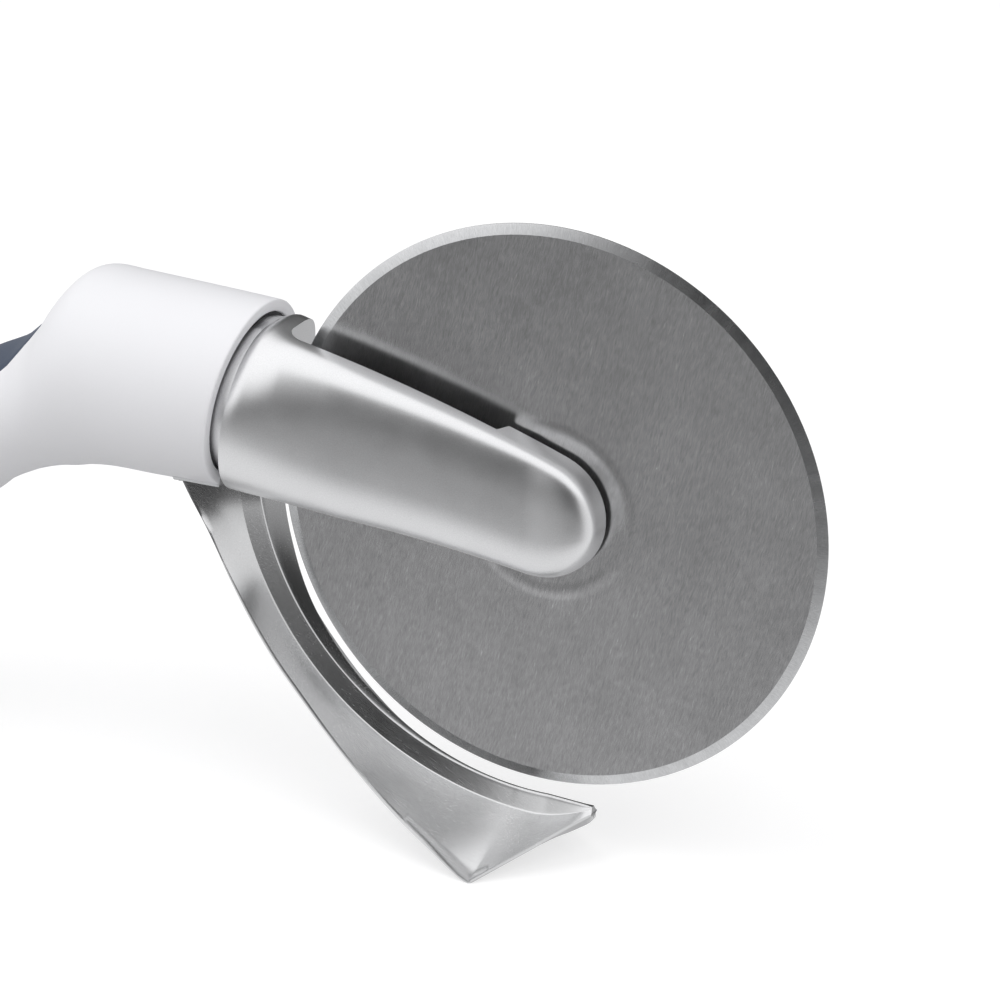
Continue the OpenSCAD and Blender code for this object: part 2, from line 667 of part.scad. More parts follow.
function pad_ring(u, grow, play, outer, inner) =
    let (w = max(pad_width(u - play, grow), pad_width(u + play, grow)), n = 7, turn = handle_lean(u),
         cx = -mouth_back - handle_l * u, cz = mouth_rise - drop * curve(run_shares, drop_shares, u),
         h = handle_share(high_shares, u), b = handle_share(wide_shares, u))
    [for (side = [0, 1], k = [-n : n])
        let (a = side == 0 ? w * k / n : -w * k / n, t = side == 0 ? outer : inner,
             v = (h - t) * cos(a) * (turn < 0 ? cos(turn) : 1))
        [cx + tan(turn) * v, -(b - t) * sin(a), cz + v]];

module pad_form(grow, hole) {
    play = pad_gap / handle_l;
    a = pad_start / handle_l;
    b = 1 - pad_stop / handle_l;
    us = [for (u = [0.002, 0.01, 0.025, 0.05, 0.09, 0.14, 0.2, 0.32, 0.45, 0.6, 0.75,
                    0.87, 0.94, 0.965, 0.985, 0.998]) mix(a, b, u)];
    skin([for (u = hole ? concat([us[0] - play], us, [us[len(us) - 1] + play]) : us)
        hole ? pad_ring(u, grow, play, -cut, shell_t + cut) : pad_ring(u, 0, 0, 0, shell_t - pad_gap)]);
}

module grip_pad() {
    color([0.2, 0.26, 0.35]) pad_form(0, false);
}

module set_down() {
    translate([hub_x, 0, hub_h]) children();
}

set_down() blade_disc();
set_down() blade_hub();
set_down() axle_sleeve();
set_down() near_washer();
set_down() far_washer();
set_down() axle_screw();
set_down() arm();
set_down() arm_seal();
set_down() guard_foot();
set_down() foot_gasket();
set_down() foot_screws();
set_down() handle_core();
set_down() handle_shell();
set_down() grip_pad();
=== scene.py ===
"""Pizza cutter wheel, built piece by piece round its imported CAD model.

Places and sizes are in millimetres from the middle of the blade, +X to the
blade's front, -Y to the side of the arm and +Z up, unless a line says metres.
"""

import json
import math

import bpy
from mathutils import Matrix, Vector

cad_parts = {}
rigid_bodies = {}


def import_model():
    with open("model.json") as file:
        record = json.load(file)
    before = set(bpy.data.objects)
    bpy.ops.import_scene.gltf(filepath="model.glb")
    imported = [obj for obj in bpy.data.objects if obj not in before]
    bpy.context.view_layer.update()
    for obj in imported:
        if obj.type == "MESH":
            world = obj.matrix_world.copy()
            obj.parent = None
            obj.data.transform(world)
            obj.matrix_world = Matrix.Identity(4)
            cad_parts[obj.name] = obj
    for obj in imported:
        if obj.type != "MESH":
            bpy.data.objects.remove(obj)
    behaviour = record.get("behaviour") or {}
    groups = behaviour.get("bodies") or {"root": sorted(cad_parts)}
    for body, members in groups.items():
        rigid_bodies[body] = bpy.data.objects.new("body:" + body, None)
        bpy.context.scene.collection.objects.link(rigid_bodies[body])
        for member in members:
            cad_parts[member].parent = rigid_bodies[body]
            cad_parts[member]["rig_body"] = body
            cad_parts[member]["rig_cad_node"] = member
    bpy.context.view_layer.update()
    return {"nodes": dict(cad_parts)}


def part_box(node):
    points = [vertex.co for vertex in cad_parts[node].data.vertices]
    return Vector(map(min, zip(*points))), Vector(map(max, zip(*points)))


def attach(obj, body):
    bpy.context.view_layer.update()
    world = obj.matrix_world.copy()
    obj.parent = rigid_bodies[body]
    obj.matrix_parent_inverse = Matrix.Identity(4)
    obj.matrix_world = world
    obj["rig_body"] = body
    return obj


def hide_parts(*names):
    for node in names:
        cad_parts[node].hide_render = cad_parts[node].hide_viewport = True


bl_info = {
    "name": "Pizza Cutter Wheel",
    "version": (1, 0, 0),
    "blender": (4, 5, 0),
    "location": "3D View > Sidebar > Cutter",
    "description": "Models a pizza cutter wheel with its arm, guard foot and handle",
    "category": "Add Mesh",
}

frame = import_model()

MM = 0.001
DOUBLES = 2e-6
BLADE_LOW, BLADE_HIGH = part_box("blade_disc")
HUB = Vector(((BLADE_LOW.x + BLADE_HIGH.x) / 2, 0, (BLADE_LOW.z + BLADE_HIGH.z) / 2))

# How far a tool reaches past what it cuts, and the gap between moulded pieces
PAST = 20
MOULD_GAP = 0.05

# The wheel and its axle
BLADE_T = 1.0
EDGE_T = 0.16
HONED_FULL = 0.02
HOLE_R = 6.0
SLEEVE_R = 4.0
HUB_R = 8.5
RUN_GAP = 0.05
THREAD_PLAY = 0.075
HUB_HALF = 1.2
WASHER_T = 0.3
WASHER_PLAY = 0.05
SEAT = HUB_HALF + WASHER_T + 2 * WASHER_PLAY
AXLE_R = 2.5
AXLE_GRIP = 5.0
HEAD_R = 8.0
HEAD_H = 2.6
HEX_W = 3.0

# The collar's mouth
MOUTH_BACK = 56.1
MOUTH_RISE = 12.35
MOUTH_TILT = math.radians(11)
COLLAR_R = 16.65
FLANGE_R = 13.8
FLANGE_L = 3.2
PLUG_R = 13.3
PLUG_L = 23.0
LIP_L = 4.0
SEAL_SINK = 0.5
MOUTH = (-MOUTH_BACK, 0, MOUTH_RISE)
MOUTH_FORWARD = Vector((math.cos(MOUTH_TILT), 0, -math.sin(MOUTH_TILT)))

# The guard foot
HUB_H = HUB.z / MM
CREST_R = 52.8
RIB_H = 3.4
WING_FROM = 56.3
WING_BACK = 66.6
FOOT_HALF = 17.0
FOOT_TOP_HALF = 8.0
CORNER = (-7.6, -HUB_H - 0.3)
TIP = (9.6, 9.7 - HUB_H)
FOOT_START = 181.5
STEM_RISE = 3.0
STEM_BACK = 1.2
STEM_PLAY = 0.15
SCREW_L = 10.0
SCREW_R = 1.5
SCREW_HEAD_R = 2.75
SCREW_HEAD_H = 3.0
SCREW_SEAT = STEM_RISE + SCREW_L / 2
SCREW_PLAY = 0.15
SCREW_PLACES = (-(WING_FROM + WING_BACK) / 2 - 3.2, -(WING_FROM + WING_BACK) / 2 + 3.2)

# The handle's middle line and outline, as shares of its length, of its whole
# drop and of the collar's or the butt's radius
HANDLE_L = 140.0
BUTT_R = 13.5
SHELL_T = 2.4
DROP = MOUTH_RISE + HUB_H - BUTT_R
RUNS = (0, 0.10, 0.172, 0.208, 0.229, 0.251, 0.272, 0.294, 0.315, 0.344, 0.372,
        0.458, 0.565, 0.708, 0.851, 1)
DROPS = (0, -0.009, -0.016, -0.014, 0.002, 0.032, 0.072, 0.104, 0.134, 0.165, 0.197,
         0.303, 0.441, 0.623, 0.807, 1)
HIGHS = (1, 1.031, 1.046, 1.066, 1.046, 0.963, 0.855, 0.798, 0.759, 0.734, 0.717,
         0.956, 1.03, 1.037, 1.007, 1)
WIDES = (1, 1.031, 1.046, 1.052, 1.03, 0.98, 0.93, 0.87, 0.81, 0.77, 0.76,
         0.95, 1.02, 1.03, 1, 0.95)
NECK_ROWS = 11
UPRIGHT_FROM, UPRIGHT_TO, GRIP_RUN = 0.17, 0.3, 0.15
PAD_FROM = 36.4 / HANDLE_L
PAD_TO = 1 - 22.0 / HANDLE_L
PAD_FRONT_RUN = 0.16
PAD_BACK_RUN = 0.08
PAD_HALF_TURN = 58
PAD_EDGE_FROM = 0.86
PAD_EDGE_SINK = 0.35
TANG_AT = 0.372
TANG_BACK = 78
TANG_WIDE = 9
TANG_HIGH = 12
ANCHORS = (0.42, 0.5)
ANCHOR_R = 2.5
GRIP_SLOPE = math.atan2(DROP * (DROPS[-1] - DROPS[-2]), HANDLE_L * (RUNS[-1] - RUNS[-2]))


# Sums that the shapes share

def clamp(value):
    return min(1.0, max(0.0, value))


def ease(value):
    """Smooth step from 0 to 1"""
    value = clamp(value)
    return value * value * (3 - 2 * value)


def mix(a, b, share):
    return a + (b - a) * share


def bulge(value, power):
    """Sine or cosine of a section that is squarer the higher the power"""
    return math.copysign(abs(value) ** (2 / power), value)


def between(first, last, count):
    """count + 1 numbers that run evenly from first to last"""
    return [mix(first, last, i / count) for i in range(count + 1)]


def curve(xs, ys, x):
    """Height at x of the smooth curve through the points (xs, ys)"""
    row = max(i for i in range(len(xs) - 1) if i == 0 or x >= xs[i])

    def slope(i):
        before, after = max(0, i - 1), min(len(xs) - 1, i + 1)
        return (ys[after] - ys[before]) / (xs[after] - xs[before])

    width = xs[row + 1] - xs[row]
    u = (x - xs[row]) / width
    return (ys[row] * (1 + 2 * u) * (1 - u) ** 2 + slope(row) * width * u * (1 - u) ** 2
            + ys[row + 1] * u * u * (3 - 2 * u) - slope(row + 1) * width * u * u * (1 - u))


def rounded(a, corner, b, steps):
    """Points of a soft corner from a to b"""
    return [tuple(p * (1 - u) ** 2 + 2 * q * u * (1 - u) + r * u * u
                  for p, q, r in zip(a, corner, b)) for u in between(0, 1, steps)]


def place(x, y, z):
    """A point in metres in the row frame"""
    return HUB + Vector((x, y, z)) * MM


# Modelling steps

def clear_selection():
    bpy.ops.object.select_all(action="DESELECT")


def pick(obj):
    """Selects a piece alone and makes it the active one"""
    clear_selection()
    obj.select_set(True)
    bpy.context.view_layer.objects.active = obj


def name_new(name):
    obj = bpy.context.object
    obj.name = obj.data.name = name
    return obj


def settle(obj):
    """Puts a piece's place into its mesh"""
    obj.data.transform(obj.matrix_world)
    obj.matrix_world = Matrix.Identity(4)
    return obj


def close_up(fill=True):
    """Joins the doubles of the mesh in edit mode, fills its ends and turns its faces outwards"""
    bpy.ops.mesh.select_all(action="SELECT")
    bpy.ops.mesh.remove_doubles(threshold=DOUBLES)
    if fill:
        bpy.ops.mesh.fill_holes(sides=0)
        bpy.ops.mesh.select_all(action="SELECT")
    bpy.ops.mesh.normals_make_consistent(inside=False)


def spun(name, profile, steps=96, centre=(0, 0, 0), along="Y"):
    """Turned piece: the profile's points are (radius, place along the axis)"""
    axis = Vector([float(letter == along) for letter in "XYZ"])
    out = Vector((0, 0, 1)) if along == "X" else Vector((1, 0, 0))
    points = [place(*centre) + (out * r + axis * s) * MM for r, s in profile]
    clear_selection()
    bpy.ops.mesh.primitive_plane_add(size=MM)
    obj = name_new(name)
    bpy.ops.object.mode_set(mode="EDIT")
    bpy.ops.mesh.merge(type="CENTER")
    bpy.ops.transform.translate(value=points[0])
    for a, b in zip(points, points[1:]):
        bpy.ops.mesh.extrude_region_move(TRANSFORM_OT_translate={"value": b - a})
    bpy.ops.mesh.select_all(action="SELECT")
    bpy.ops.mesh.spin(steps=steps, angle=math.tau, center=place(*centre), axis=axis)
    close_up(fill=False)
    bpy.ops.object.mode_set(mode="OBJECT")
    return settle(obj)


def both_halves(points):
    """Closed profile from the half of it that lies at negative places"""
    return [*points, *((r, -y) for r, y in reversed(points)), points[0]]


def lofted(name, rings):
    """Skin over rings of points: a grid is wrapped round them, closed and capped"""
    count = len(rings[0])
    clear_selection()
    bpy.ops.mesh.primitive_grid_add(x_subdivisions=count, y_subdivisions=len(rings) - 1, size=MM)
    obj = name_new(name)
    spots = [place(*p) for ring in rings for p in (*ring, ring[0])]
    obj.data.vertices.foreach_set("co", [value for spot in spots for value in spot])
    bpy.ops.object.mode_set(mode="EDIT")
    close_up()
    bpy.ops.object.mode_set(mode="OBJECT")
    return settle(obj)


def bar(name, radius, low, high, sides=96, centre=(0, 0, 0), along="Y"):
    """Round bar between two places along an axis"""
    turn = {"X": (0, math.pi / 2, 0), "Y": (math.pi / 2, 0, 0), "Z": (0, 0, 0)}[along]
    middle = Vector(centre) + Vector([(low + high) / 2 * (letter == along) for letter in "XYZ"])
    clear_selection()
    bpy.ops.mesh.primitive_cylinder_add(
        vertices=sides, radius=radius * MM, depth=(high - low) * MM, location=place(*middle),
        rotation=turn)
    obj = name_new(name)
    bpy.context.view_layer.update()
    return settle(obj)


def cut_off(obj, point, normal, ahead):
    """Cuts off what lies ahead of a plane, on the side of its normal, or what lies behind it"""
    pick(obj)
    bpy.ops.object.mode_set(mode="EDIT")
    bpy.ops.mesh.select_all(action="SELECT")
    bpy.ops.mesh.bisect(plane_co=point, plane_no=normal, use_fill=True,
                        clear_outer=ahead, clear_inner=not ahead)
    bpy.ops.object.mode_set(mode="OBJECT")
    return obj


def slice_off(obj, shift, ahead):
    """Cuts off what lies ahead of the mouth's plane moved forward by shift, or behind it"""
    return cut_off(obj, place(*MOUTH) + MOUTH_FORWARD * shift * MM, MOUTH_FORWARD, ahead)


def combine(obj, tool, operation="DIFFERENCE"):
    """Joins the tool to a piece or cuts it out, and takes the tool away"""
    pick(obj)
    bpy.ops.object.modifier_add(type="BOOLEAN")
    step = obj.modifiers[-1]
    step.operation, step.object, step.solver = operation, tool, "EXACT"
    bpy.ops.object.modifier_apply(modifier=step.name)
    bpy.data.objects.remove(tool)
    return obj


def soften(obj, width, wanted):
    """Rounds the edges whose two ends both pass the test"""
    pick(obj)
    bpy.ops.object.mode_set(mode="EDIT")
    bpy.ops.mesh.select_all(action="DESELECT")
    bpy.ops.object.mode_set(mode="OBJECT")
    spots = [(v.co - HUB) / MM for v in obj.data.vertices]
    for edge in obj.data.edges:
        edge.select = all(wanted(spots[v]) for v in edge.vertices)
    bpy.ops.object.mode_set(mode="EDIT")
    bpy.ops.mesh.select_mode(type="EDGE")
    bpy.ops.mesh.bevel(offset=width * MM, segments=3, affect="EDGES")
    bpy.ops.object.mode_set(mode="OBJECT")
    return obj


def copied_node(node, bevel=0.0):
    """A copy of a CAD node with its doubles joined and its flat faces whole"""
    pick(frame["nodes"][node])
    bpy.ops.object.duplicate()
    obj = name_new(node + "_piece")
    obj.parent = None
    obj.matrix_world = Matrix.Identity(4)
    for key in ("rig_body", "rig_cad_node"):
        if key in obj:
            del obj[key]
    bpy.ops.object.mode_set(mode="EDIT")
    bpy.ops.mesh.select_all(action="SELECT")
    bpy.ops.mesh.remove_doubles(threshold=DOUBLES)
    bpy.ops.mesh.dissolve_limited(angle_limit=math.radians(0.5))
    bpy.ops.object.mode_set(mode="OBJECT")
    if bevel:
        bpy.ops.object.modifier_add(type="BEVEL")
        step = obj.modifiers[-1]
        step.width, step.segments, step.limit_method = bevel * MM, 2, "ANGLE"
        step.angle_limit = math.radians(50)
        bpy.ops.object.modifier_apply(modifier=step.name)
    return obj


def finish_piece(obj, node, body, *materials, smooth=30):
    """Gives a piece its materials, shading and body, and hides the CAD node that it stands for"""
    obj.data.materials.clear()
    for material in materials:
        obj.data.materials.append(material)
    pick(obj)
    bpy.ops.object.shade_smooth_by_angle(angle=math.radians(smooth))
    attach(obj, body)
    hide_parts(node)
    return obj


# Materials

class Link:
    """An output socket that can be used in sums, as a number can"""

    def __init__(self, finish, socket):
        self.finish = finish
        self.socket = socket

    def math(self, operation, first, second):
        return self.finish.math(operation, first, second)

    def __add__(self, other):
        return self.math("ADD", self, other)

    def __sub__(self, other):
        return self.math("SUBTRACT", self, other)

    def __mul__(self, other):
        return self.math("MULTIPLY", self, other)

    def __neg__(self):
        return self.math("MULTIPLY", self, -1.0)

    def __rsub__(self, other):
        return self.math("SUBTRACT", other, self)

    def __lt__(self, other):
        return self.math("LESS_THAN", self, other)

    __radd__ = __add__
    __rmul__ = __mul__


class Finish:
    """A new material, or the world that is given, and the nodes that it is made of"""

    def __init__(self, name, world=None):
        self.material = world or bpy.data.materials.new(name)
        self.material.use_nodes = True
        self.nodes = self.material.node_tree.nodes
        self.links = self.material.node_tree.links
        self.nodes.clear()

    def node(self, kind, settings=None, inputs=None, output=0):
        """Adds a node, sets it up, fills its sockets and gives one of its outputs"""
        made = self.nodes.new(kind)
        for key, value in (settings or {}).items():
            if key == "stops":
                self.fill_ramp(made.color_ramp, value)
            else:
                setattr(made, key, value)
        for key, value in (inputs or {}).items():
            if isinstance(value, Link):
                self.links.new(value.socket, made.inputs[key])
            else:
                made.inputs[key].default_value = value
        return None if output is None else Link(self, made.outputs[output])

    @staticmethod
    def fill_ramp(ramp, stops):
        """Sets a ramp's greys; a new ramp has two stops"""
        for stop in stops[2:]:
            ramp.elements.new(stop[0])
        for element, (spot, value) in zip(ramp.elements, stops):
            element.position = spot
            element.color = (value, value, value, 1)

    def place(self):
        """The surface's own place, in metres"""
        return self.node("ShaderNodeTexCoord", output="Object")

    def noise(self, size, detail=2.0, roughness=0.5, vector=None):
        """Noise with lumps of the given size in millimetres, about 0.5"""
        return self.node("ShaderNodeTexNoise", {}, {
            "Vector": vector or self.place(), "Scale": 1 / (size * MM), "Detail": detail,
            "Roughness": roughness}, output="Fac")

    def streaks(self, width, length, turn, detail=2.0):
        """Noise drawn out along a line that is turned about Y; sizes are in millimetres"""
        turned = self.node("ShaderNodeMapping", {}, {
            "Vector": self.place(), "Rotation": (0, turn, 0)})
        drawn = self.node("ShaderNodeMapping", {}, {
            "Vector": turned, "Scale": (1 / (width * MM), 1 / (width * MM), 1 / (length * MM))})
        return self.node("ShaderNodeTexNoise", {}, {
            "Vector": drawn, "Scale": 1.0, "Detail": detail}, output="Fac")

    def math(self, operation, first, second):
        return self.node("ShaderNodeMath", {"operation": operation}, {0: first, 1: second})

    def most(self, first, second):
        """The higher of two values"""
        return self.math("MAXIMUM", first, second)

    def ramp(self, value, *stops):
        return self.node("ShaderNodeValToRGB", {"stops": stops}, {"Fac": value})

    def shade(self, colour, amount):
        """The colour made lighter or darker by an amount about 1"""
        return self.node("ShaderNodeVectorMath", {"operation": "SCALE"},
                         {0: tuple(colour)[:3], "Scale": amount})

    def bump(self, height, depth, strength=1.0):
        """Bump from a height of 0 to 1 that stands for a depth in millimetres"""
        return self.node("ShaderNodeBump", {}, {
            "Height": height, "Distance": depth * MM, "Strength": strength}, output="Normal")

    def surface(self, colour, **sockets):
        """Ends the material with its shader; sockets are named with underscores"""
        inputs = {"Base Color": colour}
        inputs.update({key.replace("_", " "): value for key, value in sockets.items()})
        shader = self.node("ShaderNodeBsdfPrincipled", {}, inputs)
        self.node("ShaderNodeOutputMaterial", {}, {"Surface": shader}, output=None)
        return self.material


def sway(noise, amount):
    """How far a noise strays from its middle, times an amount"""
    return (noise - 0.5) * amount


def blade_finish(colour, turn):
    """Brushed sheet: long fine streaks, single scratches and faint cloudy patches"""
    f = Finish("blade_brushed_steel")
    fine = f.streaks(0.13, 1.5, turn, 3.0)
    broad = f.streaks(0.6, 9.0, turn)
    cloud = f.noise(14.0, 3.0)
    mottle = f.noise(1.6, 4.0, 0.65)
    scratch = f.ramp(f.streaks(0.2, 2.6, turn + 0.08, 1.0), (0.7, 0.0), (0.84, 1.0))
    tone = (1 + sway(fine, 0.65) + sway(broad, 0.2) + sway(cloud, 0.25)
            + sway(mottle, 0.3) + scratch * 0.35)
    return f.surface(f.shade(colour, tone), Metallic=1.0,
                     Roughness=0.23 + sway(fine, 0.14) + sway(cloud, 0.05),
                     Normal=f.bump(fine, 0.008, 0.4))


def edge_finish(colour):
    """Ground edge: lines that run out from the middle of the blade"""
    f = Finish("blade_ground_edge")
    offset = f.node("ShaderNodeVectorMath", {"operation": "SUBTRACT"},
                    {0: f.place(), 1: tuple(HUB)})
    outward = f.node("ShaderNodeVectorMath", {"operation": "NORMALIZE"}, {0: offset})
    lines, broad = (f.node("ShaderNodeTexNoise", {}, {
        "Vector": outward, "Scale": scale, "Detail": detail}, output="Fac")
        for scale, detail in ((260.0, 2.0), (14.0, 3.0)))
    tone = 1 + sway(lines, 0.35) + sway(broad, 0.3)
    return f.surface(f.shade(colour, tone), Metallic=1.0, Roughness=0.2 + broad * 0.12,
                     Normal=f.bump(lines, 0.006, 0.4))


def cast_finish(colour):
    """Satin, bead-blasted casting: an even grain that glitters a little"""
    f = Finish("arm_satin_zinc")
    grain = f.noise(0.16, 2.0, 0.6)
    soft = f.noise(6.0, 2.0)
    tone = 1 + sway(grain, 0.3) + sway(soft, 0.08)
    return f.surface(f.shade(colour, tone), Metallic=1.0,
                     Roughness=0.33 + sway(grain, 0.12) + sway(soft, 0.05),
                     Normal=f.bump(grain, 0.012, 0.4))


def foot_finish(colour):
    """Satin steel, brushed crosswise on its crest, with faint handling marks"""
    f = Finish("foot_satin_steel")
    fine = f.streaks(0.14, 4.0, math.radians(62), 3.0)
    cloud = f.noise(9.0, 3.0)
    mark = f.ramp(f.streaks(0.5, 9.0, math.radians(40), 1.0), (0.7, 0.0), (0.86, 1.0))
    tone = 1 + sway(fine, 0.22) + sway(cloud, 0.12) - mark * 0.07
    return f.surface(f.shade(colour, tone), Metallic=1.0,
                     Roughness=0.25 + sway(fine, 0.12) + sway(cloud, 0.06),
                     Normal=f.bump(fine, 0.006, 0.35))


def shell_finish(colour):
    """Moulded white plastic with a fine eggshell skin"""
    f = Finish("shell_white_plastic")
    skin = f.noise(0.35, 2.0)
    wave = f.noise(14.0, 2.0)
    return f.surface(f.shade(colour, 1 + sway(wave, 0.02) + sway(skin, 0.015)),
                     Roughness=0.42 + sway(wave, 0.08), IOR=1.46,
                     Normal=f.bump(skin, 0.006, 0.25))


def pad_finish(colour):
    """Soft navy rubber with a fine pebbled skin"""
    f = Finish("pad_navy_rubber")
    pebble = f.node("ShaderNodeTexVoronoi", {"feature": "SMOOTH_F1"}, {
        "Vector": f.place(), "Scale": 1 / (0.45 * MM), "Smoothness": 0.6}, output="Distance")
    wear = f.noise(5.0, 4.0)
    # Painted shade: the grooves between the pebbles, where the bump sinks, are coloured a little
    # darker; the wear noise is the rubber's own uneven tone
    return f.surface(f.shade(colour, 0.96 + wear * 0.14 - pebble * 0.08),
                     Roughness=0.62 + sway(wear, 0.14),
                     Normal=f.bump(1 - pebble, 0.03, 0.5))


def plain_finish(name, colour, roughness, metallic=0.0, grain=0.3, depth=0.006):
    """Small moulded or turned fittings: a faint grain of their own"""
    f = Finish(name)
    fine = f.noise(grain, 3.0)
    soft = f.noise(grain * 12, 2.0)
    return f.surface(f.shade(colour, 1 + sway(fine, 0.16) + sway(soft, 0.1)),
                     Metallic=metallic, Roughness=roughness + sway(fine, 0.12),
                     Normal=f.bump(fine, depth, 0.4))


# The room that metal mirrors: stops of brightness over the height or the side in which a
# mirrored ray leaves, as parts of the ray's direction
OVERHEAD_FROM, OVERHEAD_TO = 0.43, 0.56
LEFT_WALL = ((0.27, 0.0), (0.46, 1.0))
LEFT_FOOT = ((0.35, 0.0), (0.5, 1.0))
RIGHT_WALL = ((0.38, 0.0), (0.52, 0.68), (0.9, 0.85))
TABLE = ((0.0, 0.04), (0.2, 0.12), (0.28, 0.2), (0.34, 0.25), (0.38, 0.36), (0.41, 0.47),
         (0.46, 0.57), (0.52, 0.78), (0.62, 0.86))
TABLE_BEHIND = ((0.05, 0.0), (0.12, 0.3), (0.45, 0.55))
TABLE_LEFT = ((0.5, 0.0), (0.65, 0.9))
CORNER_SHADE = (((0.14, 0.0), (0.18, 1.0)), ((0.365, 0.0), (0.39, 1.0), (0.42, 1.0), (0.46, 0.0)))
MIDDLE_SHADE = (((0.2, 0.0), (0.26, 1.0)), ((0.2, 0.0), (0.26, 1.0), (0.36, 1.0), (0.42, 0.0)))
WING_SHINE = (((0.12, 0.0), (0.16, 1.0), (0.19, 1.0), (0.23, 0.0)),
              ((0.25, 0.0), (0.3, 1.0), (0.35, 1.0), (0.375, 0.0)))

# The camera, which looks at a point near the middle of the blade
VIEW_TURN = math.radians(24.819)
VIEW_RISE = math.radians(21.485)
VIEW_POINT = (-9.099, 0, 0.229)
VIEW_DISTANCE = 0.7
FOCAL_PIXELS = 4146.4
IMAGE_PIXELS = 1000
SENSOR = 36.0

# Outlines of the arm, the foot and the handle

ARM_END_R = 11.1
ARM_END_RISE = 0.25
ARM_TOP_R = 340.0
ARM_LOW_R = 300.0
ARM_TOP_TURN = math.radians(69)
ARM_LOW_TURN = math.radians(11.5)
ARM_CROWN = 8.5
ROOT_CROWN = 14.5
SLOT_NEAR = 4.7
SLOT_FAR = 8.4
SLOT_FILLET = 4.0
ROOT_L = 5.3
ROOT_ROUND = 0.8
BAND_L = 1.7
ARM_WALL = 0.5
ARM_SWELL = 1.1
ARM_SQUARE = 3.2
ROOT_SQUARE = 2.1
STUB_SQUARE = 5.0
ROOT_EASE = 2.5
ROOT_REACH = 0.88 * COLLAR_R
TOP_CX = -(ARM_TOP_R - ARM_END_R) * math.cos(ARM_TOP_TURN)
TOP_CZ = ARM_END_RISE - (ARM_TOP_R - ARM_END_R) * math.sin(ARM_TOP_TURN)
LOW_CX = -(ARM_LOW_R + ARM_END_R) * math.sin(ARM_LOW_TURN)
LOW_CZ = ARM_END_RISE - (ARM_LOW_R + ARM_END_R) * math.cos(ARM_LOW_TURN)
ROOT_X = BAND_L - MOUTH_BACK - math.tan(MOUTH_TILT) * MOUTH_RISE * 0.12
SLOT_X = ROOT_X + ROOT_L
LEAN_END_X = SLOT_X + 2.7 * ROOT_L
BOSS_X = -0.64 * ARM_END_R
BOSS_RAMP = 0.6


def arm_top(x):
    """Height of the arm's top edge at x: its round end, then a long arc"""
    if x > ARM_END_R * math.cos(ARM_TOP_TURN):
        return ARM_END_RISE + math.sqrt(max(0, ARM_END_R ** 2 - x * x))
    return TOP_CZ + math.sqrt(ARM_TOP_R ** 2 - (x - TOP_CX) ** 2)


def arm_low(x):
    """Height of the arm's lower edge at x"""
    if x > -ARM_END_R * math.sin(ARM_LOW_TURN):
        return ARM_END_RISE - math.sqrt(max(0, ARM_END_R ** 2 - x * x))
    return LOW_CZ + math.sqrt(ARM_LOW_R ** 2 - (x - LOW_CX) ** 2)


def arm_ring(x, stub, steps=30):
    """Section of the arm at x: the outer half, then the root's far side or the inner face"""
    toward_root = clamp((LEAN_END_X - x) / (LEAN_END_X - ROOT_X))
    lean = math.tan(MOUTH_TILT) * toward_root
    near_root = 1 - math.sin(math.pi / 2 * clamp((x - ROOT_X) / ROOT_EASE))
    boss = ease((x - BOSS_X) / (2 * BOSS_RAMP) + 0.5)
    low_y = SLOT_NEAR - SLOT_FILLET
    if x <= SLOT_X:
        inner = low_y
    elif x < SLOT_X + SLOT_FILLET:
        inner = low_y + math.sqrt(SLOT_FILLET ** 2 - (SLOT_X + SLOT_FILLET - x) ** 2)
    else:
        inner = mix(SLOT_NEAR, SEAT, boss)
    crown = mix(ARM_CROWN, ROOT_CROWN, (max(0, -x) / MOUTH_BACK) ** ARM_SWELL)
    crown -= near_root * ROOT_ROUND / 4
    base = ARM_WALL + mix(low_y, SLOT_NEAR, ease((x - ROOT_X) / (ROOT_L + SLOT_FILLET)))
    square = mix(ARM_SQUARE, ROOT_SQUARE, toward_root)
    fade = 1 if x <= 0 else max(0, 1 - (x / ARM_END_R) ** ARM_SQUARE) ** (1 / ARM_SQUARE)
    top = arm_top(x + lean * ROOT_REACH) - near_root * ROOT_ROUND
    low = arm_low(x - lean * ROOT_REACH)
    mid, half = (top + low) / 2, (top - low) / 2
    out = mix(base, crown, fade)
    stop = math.acos(max(0, (inner - low_y) / (out - low_y)) ** (square / 2))
    into_root = clamp((SLOT_X - x) / ROOT_L)
    far = mix(SLOT_FAR, ROOT_CROWN, into_root ** 1.3)
    stub_power = mix(STUB_SQUARE, ROOT_SQUARE, into_root)
    ring = []
    for k in range(steps + 1):
        a = math.pi / 2 - math.pi * k / steps if 2 * k <= steps else stop * (1 - 2 * k / steps)
        start = base if a > 0 else low_y
        v = half * bulge(math.sin(a), square)
        ring.append((x + lean * v, -mix(start, out, bulge(math.cos(a), square)), mid + v))
    for k in range(1, steps + 1):
        a = math.pi * k / steps - math.pi / 2
        v = half * bulge(math.sin(a), stub_power)
        w = half * mix(-bulge(math.sin(stop), square), 1, (1 + bulge(math.sin(a), stub_power)) / 2)
        if stub:
            y = mix(-inner, far, bulge(math.cos(a), stub_power))
            ring.append((x + lean * v, y, mid + v))
        else:
            ring.append((x + lean * w, -inner, mid + w))
    return ring


def stem_outline(grow, ahead):
    """Outline of the foot's stem from above, grown all round and by ahead in front"""
    wide = FOOT_TOP_HALF + 0.25
    front = [(-CREST_R, 5.0), (-CREST_R - RIB_H, 6.0), (-WING_BACK, wide)]
    sides = [(x + (grow + ahead if x == -CREST_R else 0), y + grow) for x, y in front]
    back = [(-WING_BACK - (STEM_BACK + grow) * math.sin(a), (wide + grow) * math.cos(a))
            for a in between(math.radians(15), math.radians(165), 10)]
    return sides + back + [(x, -y) for x, y in reversed(sides)]


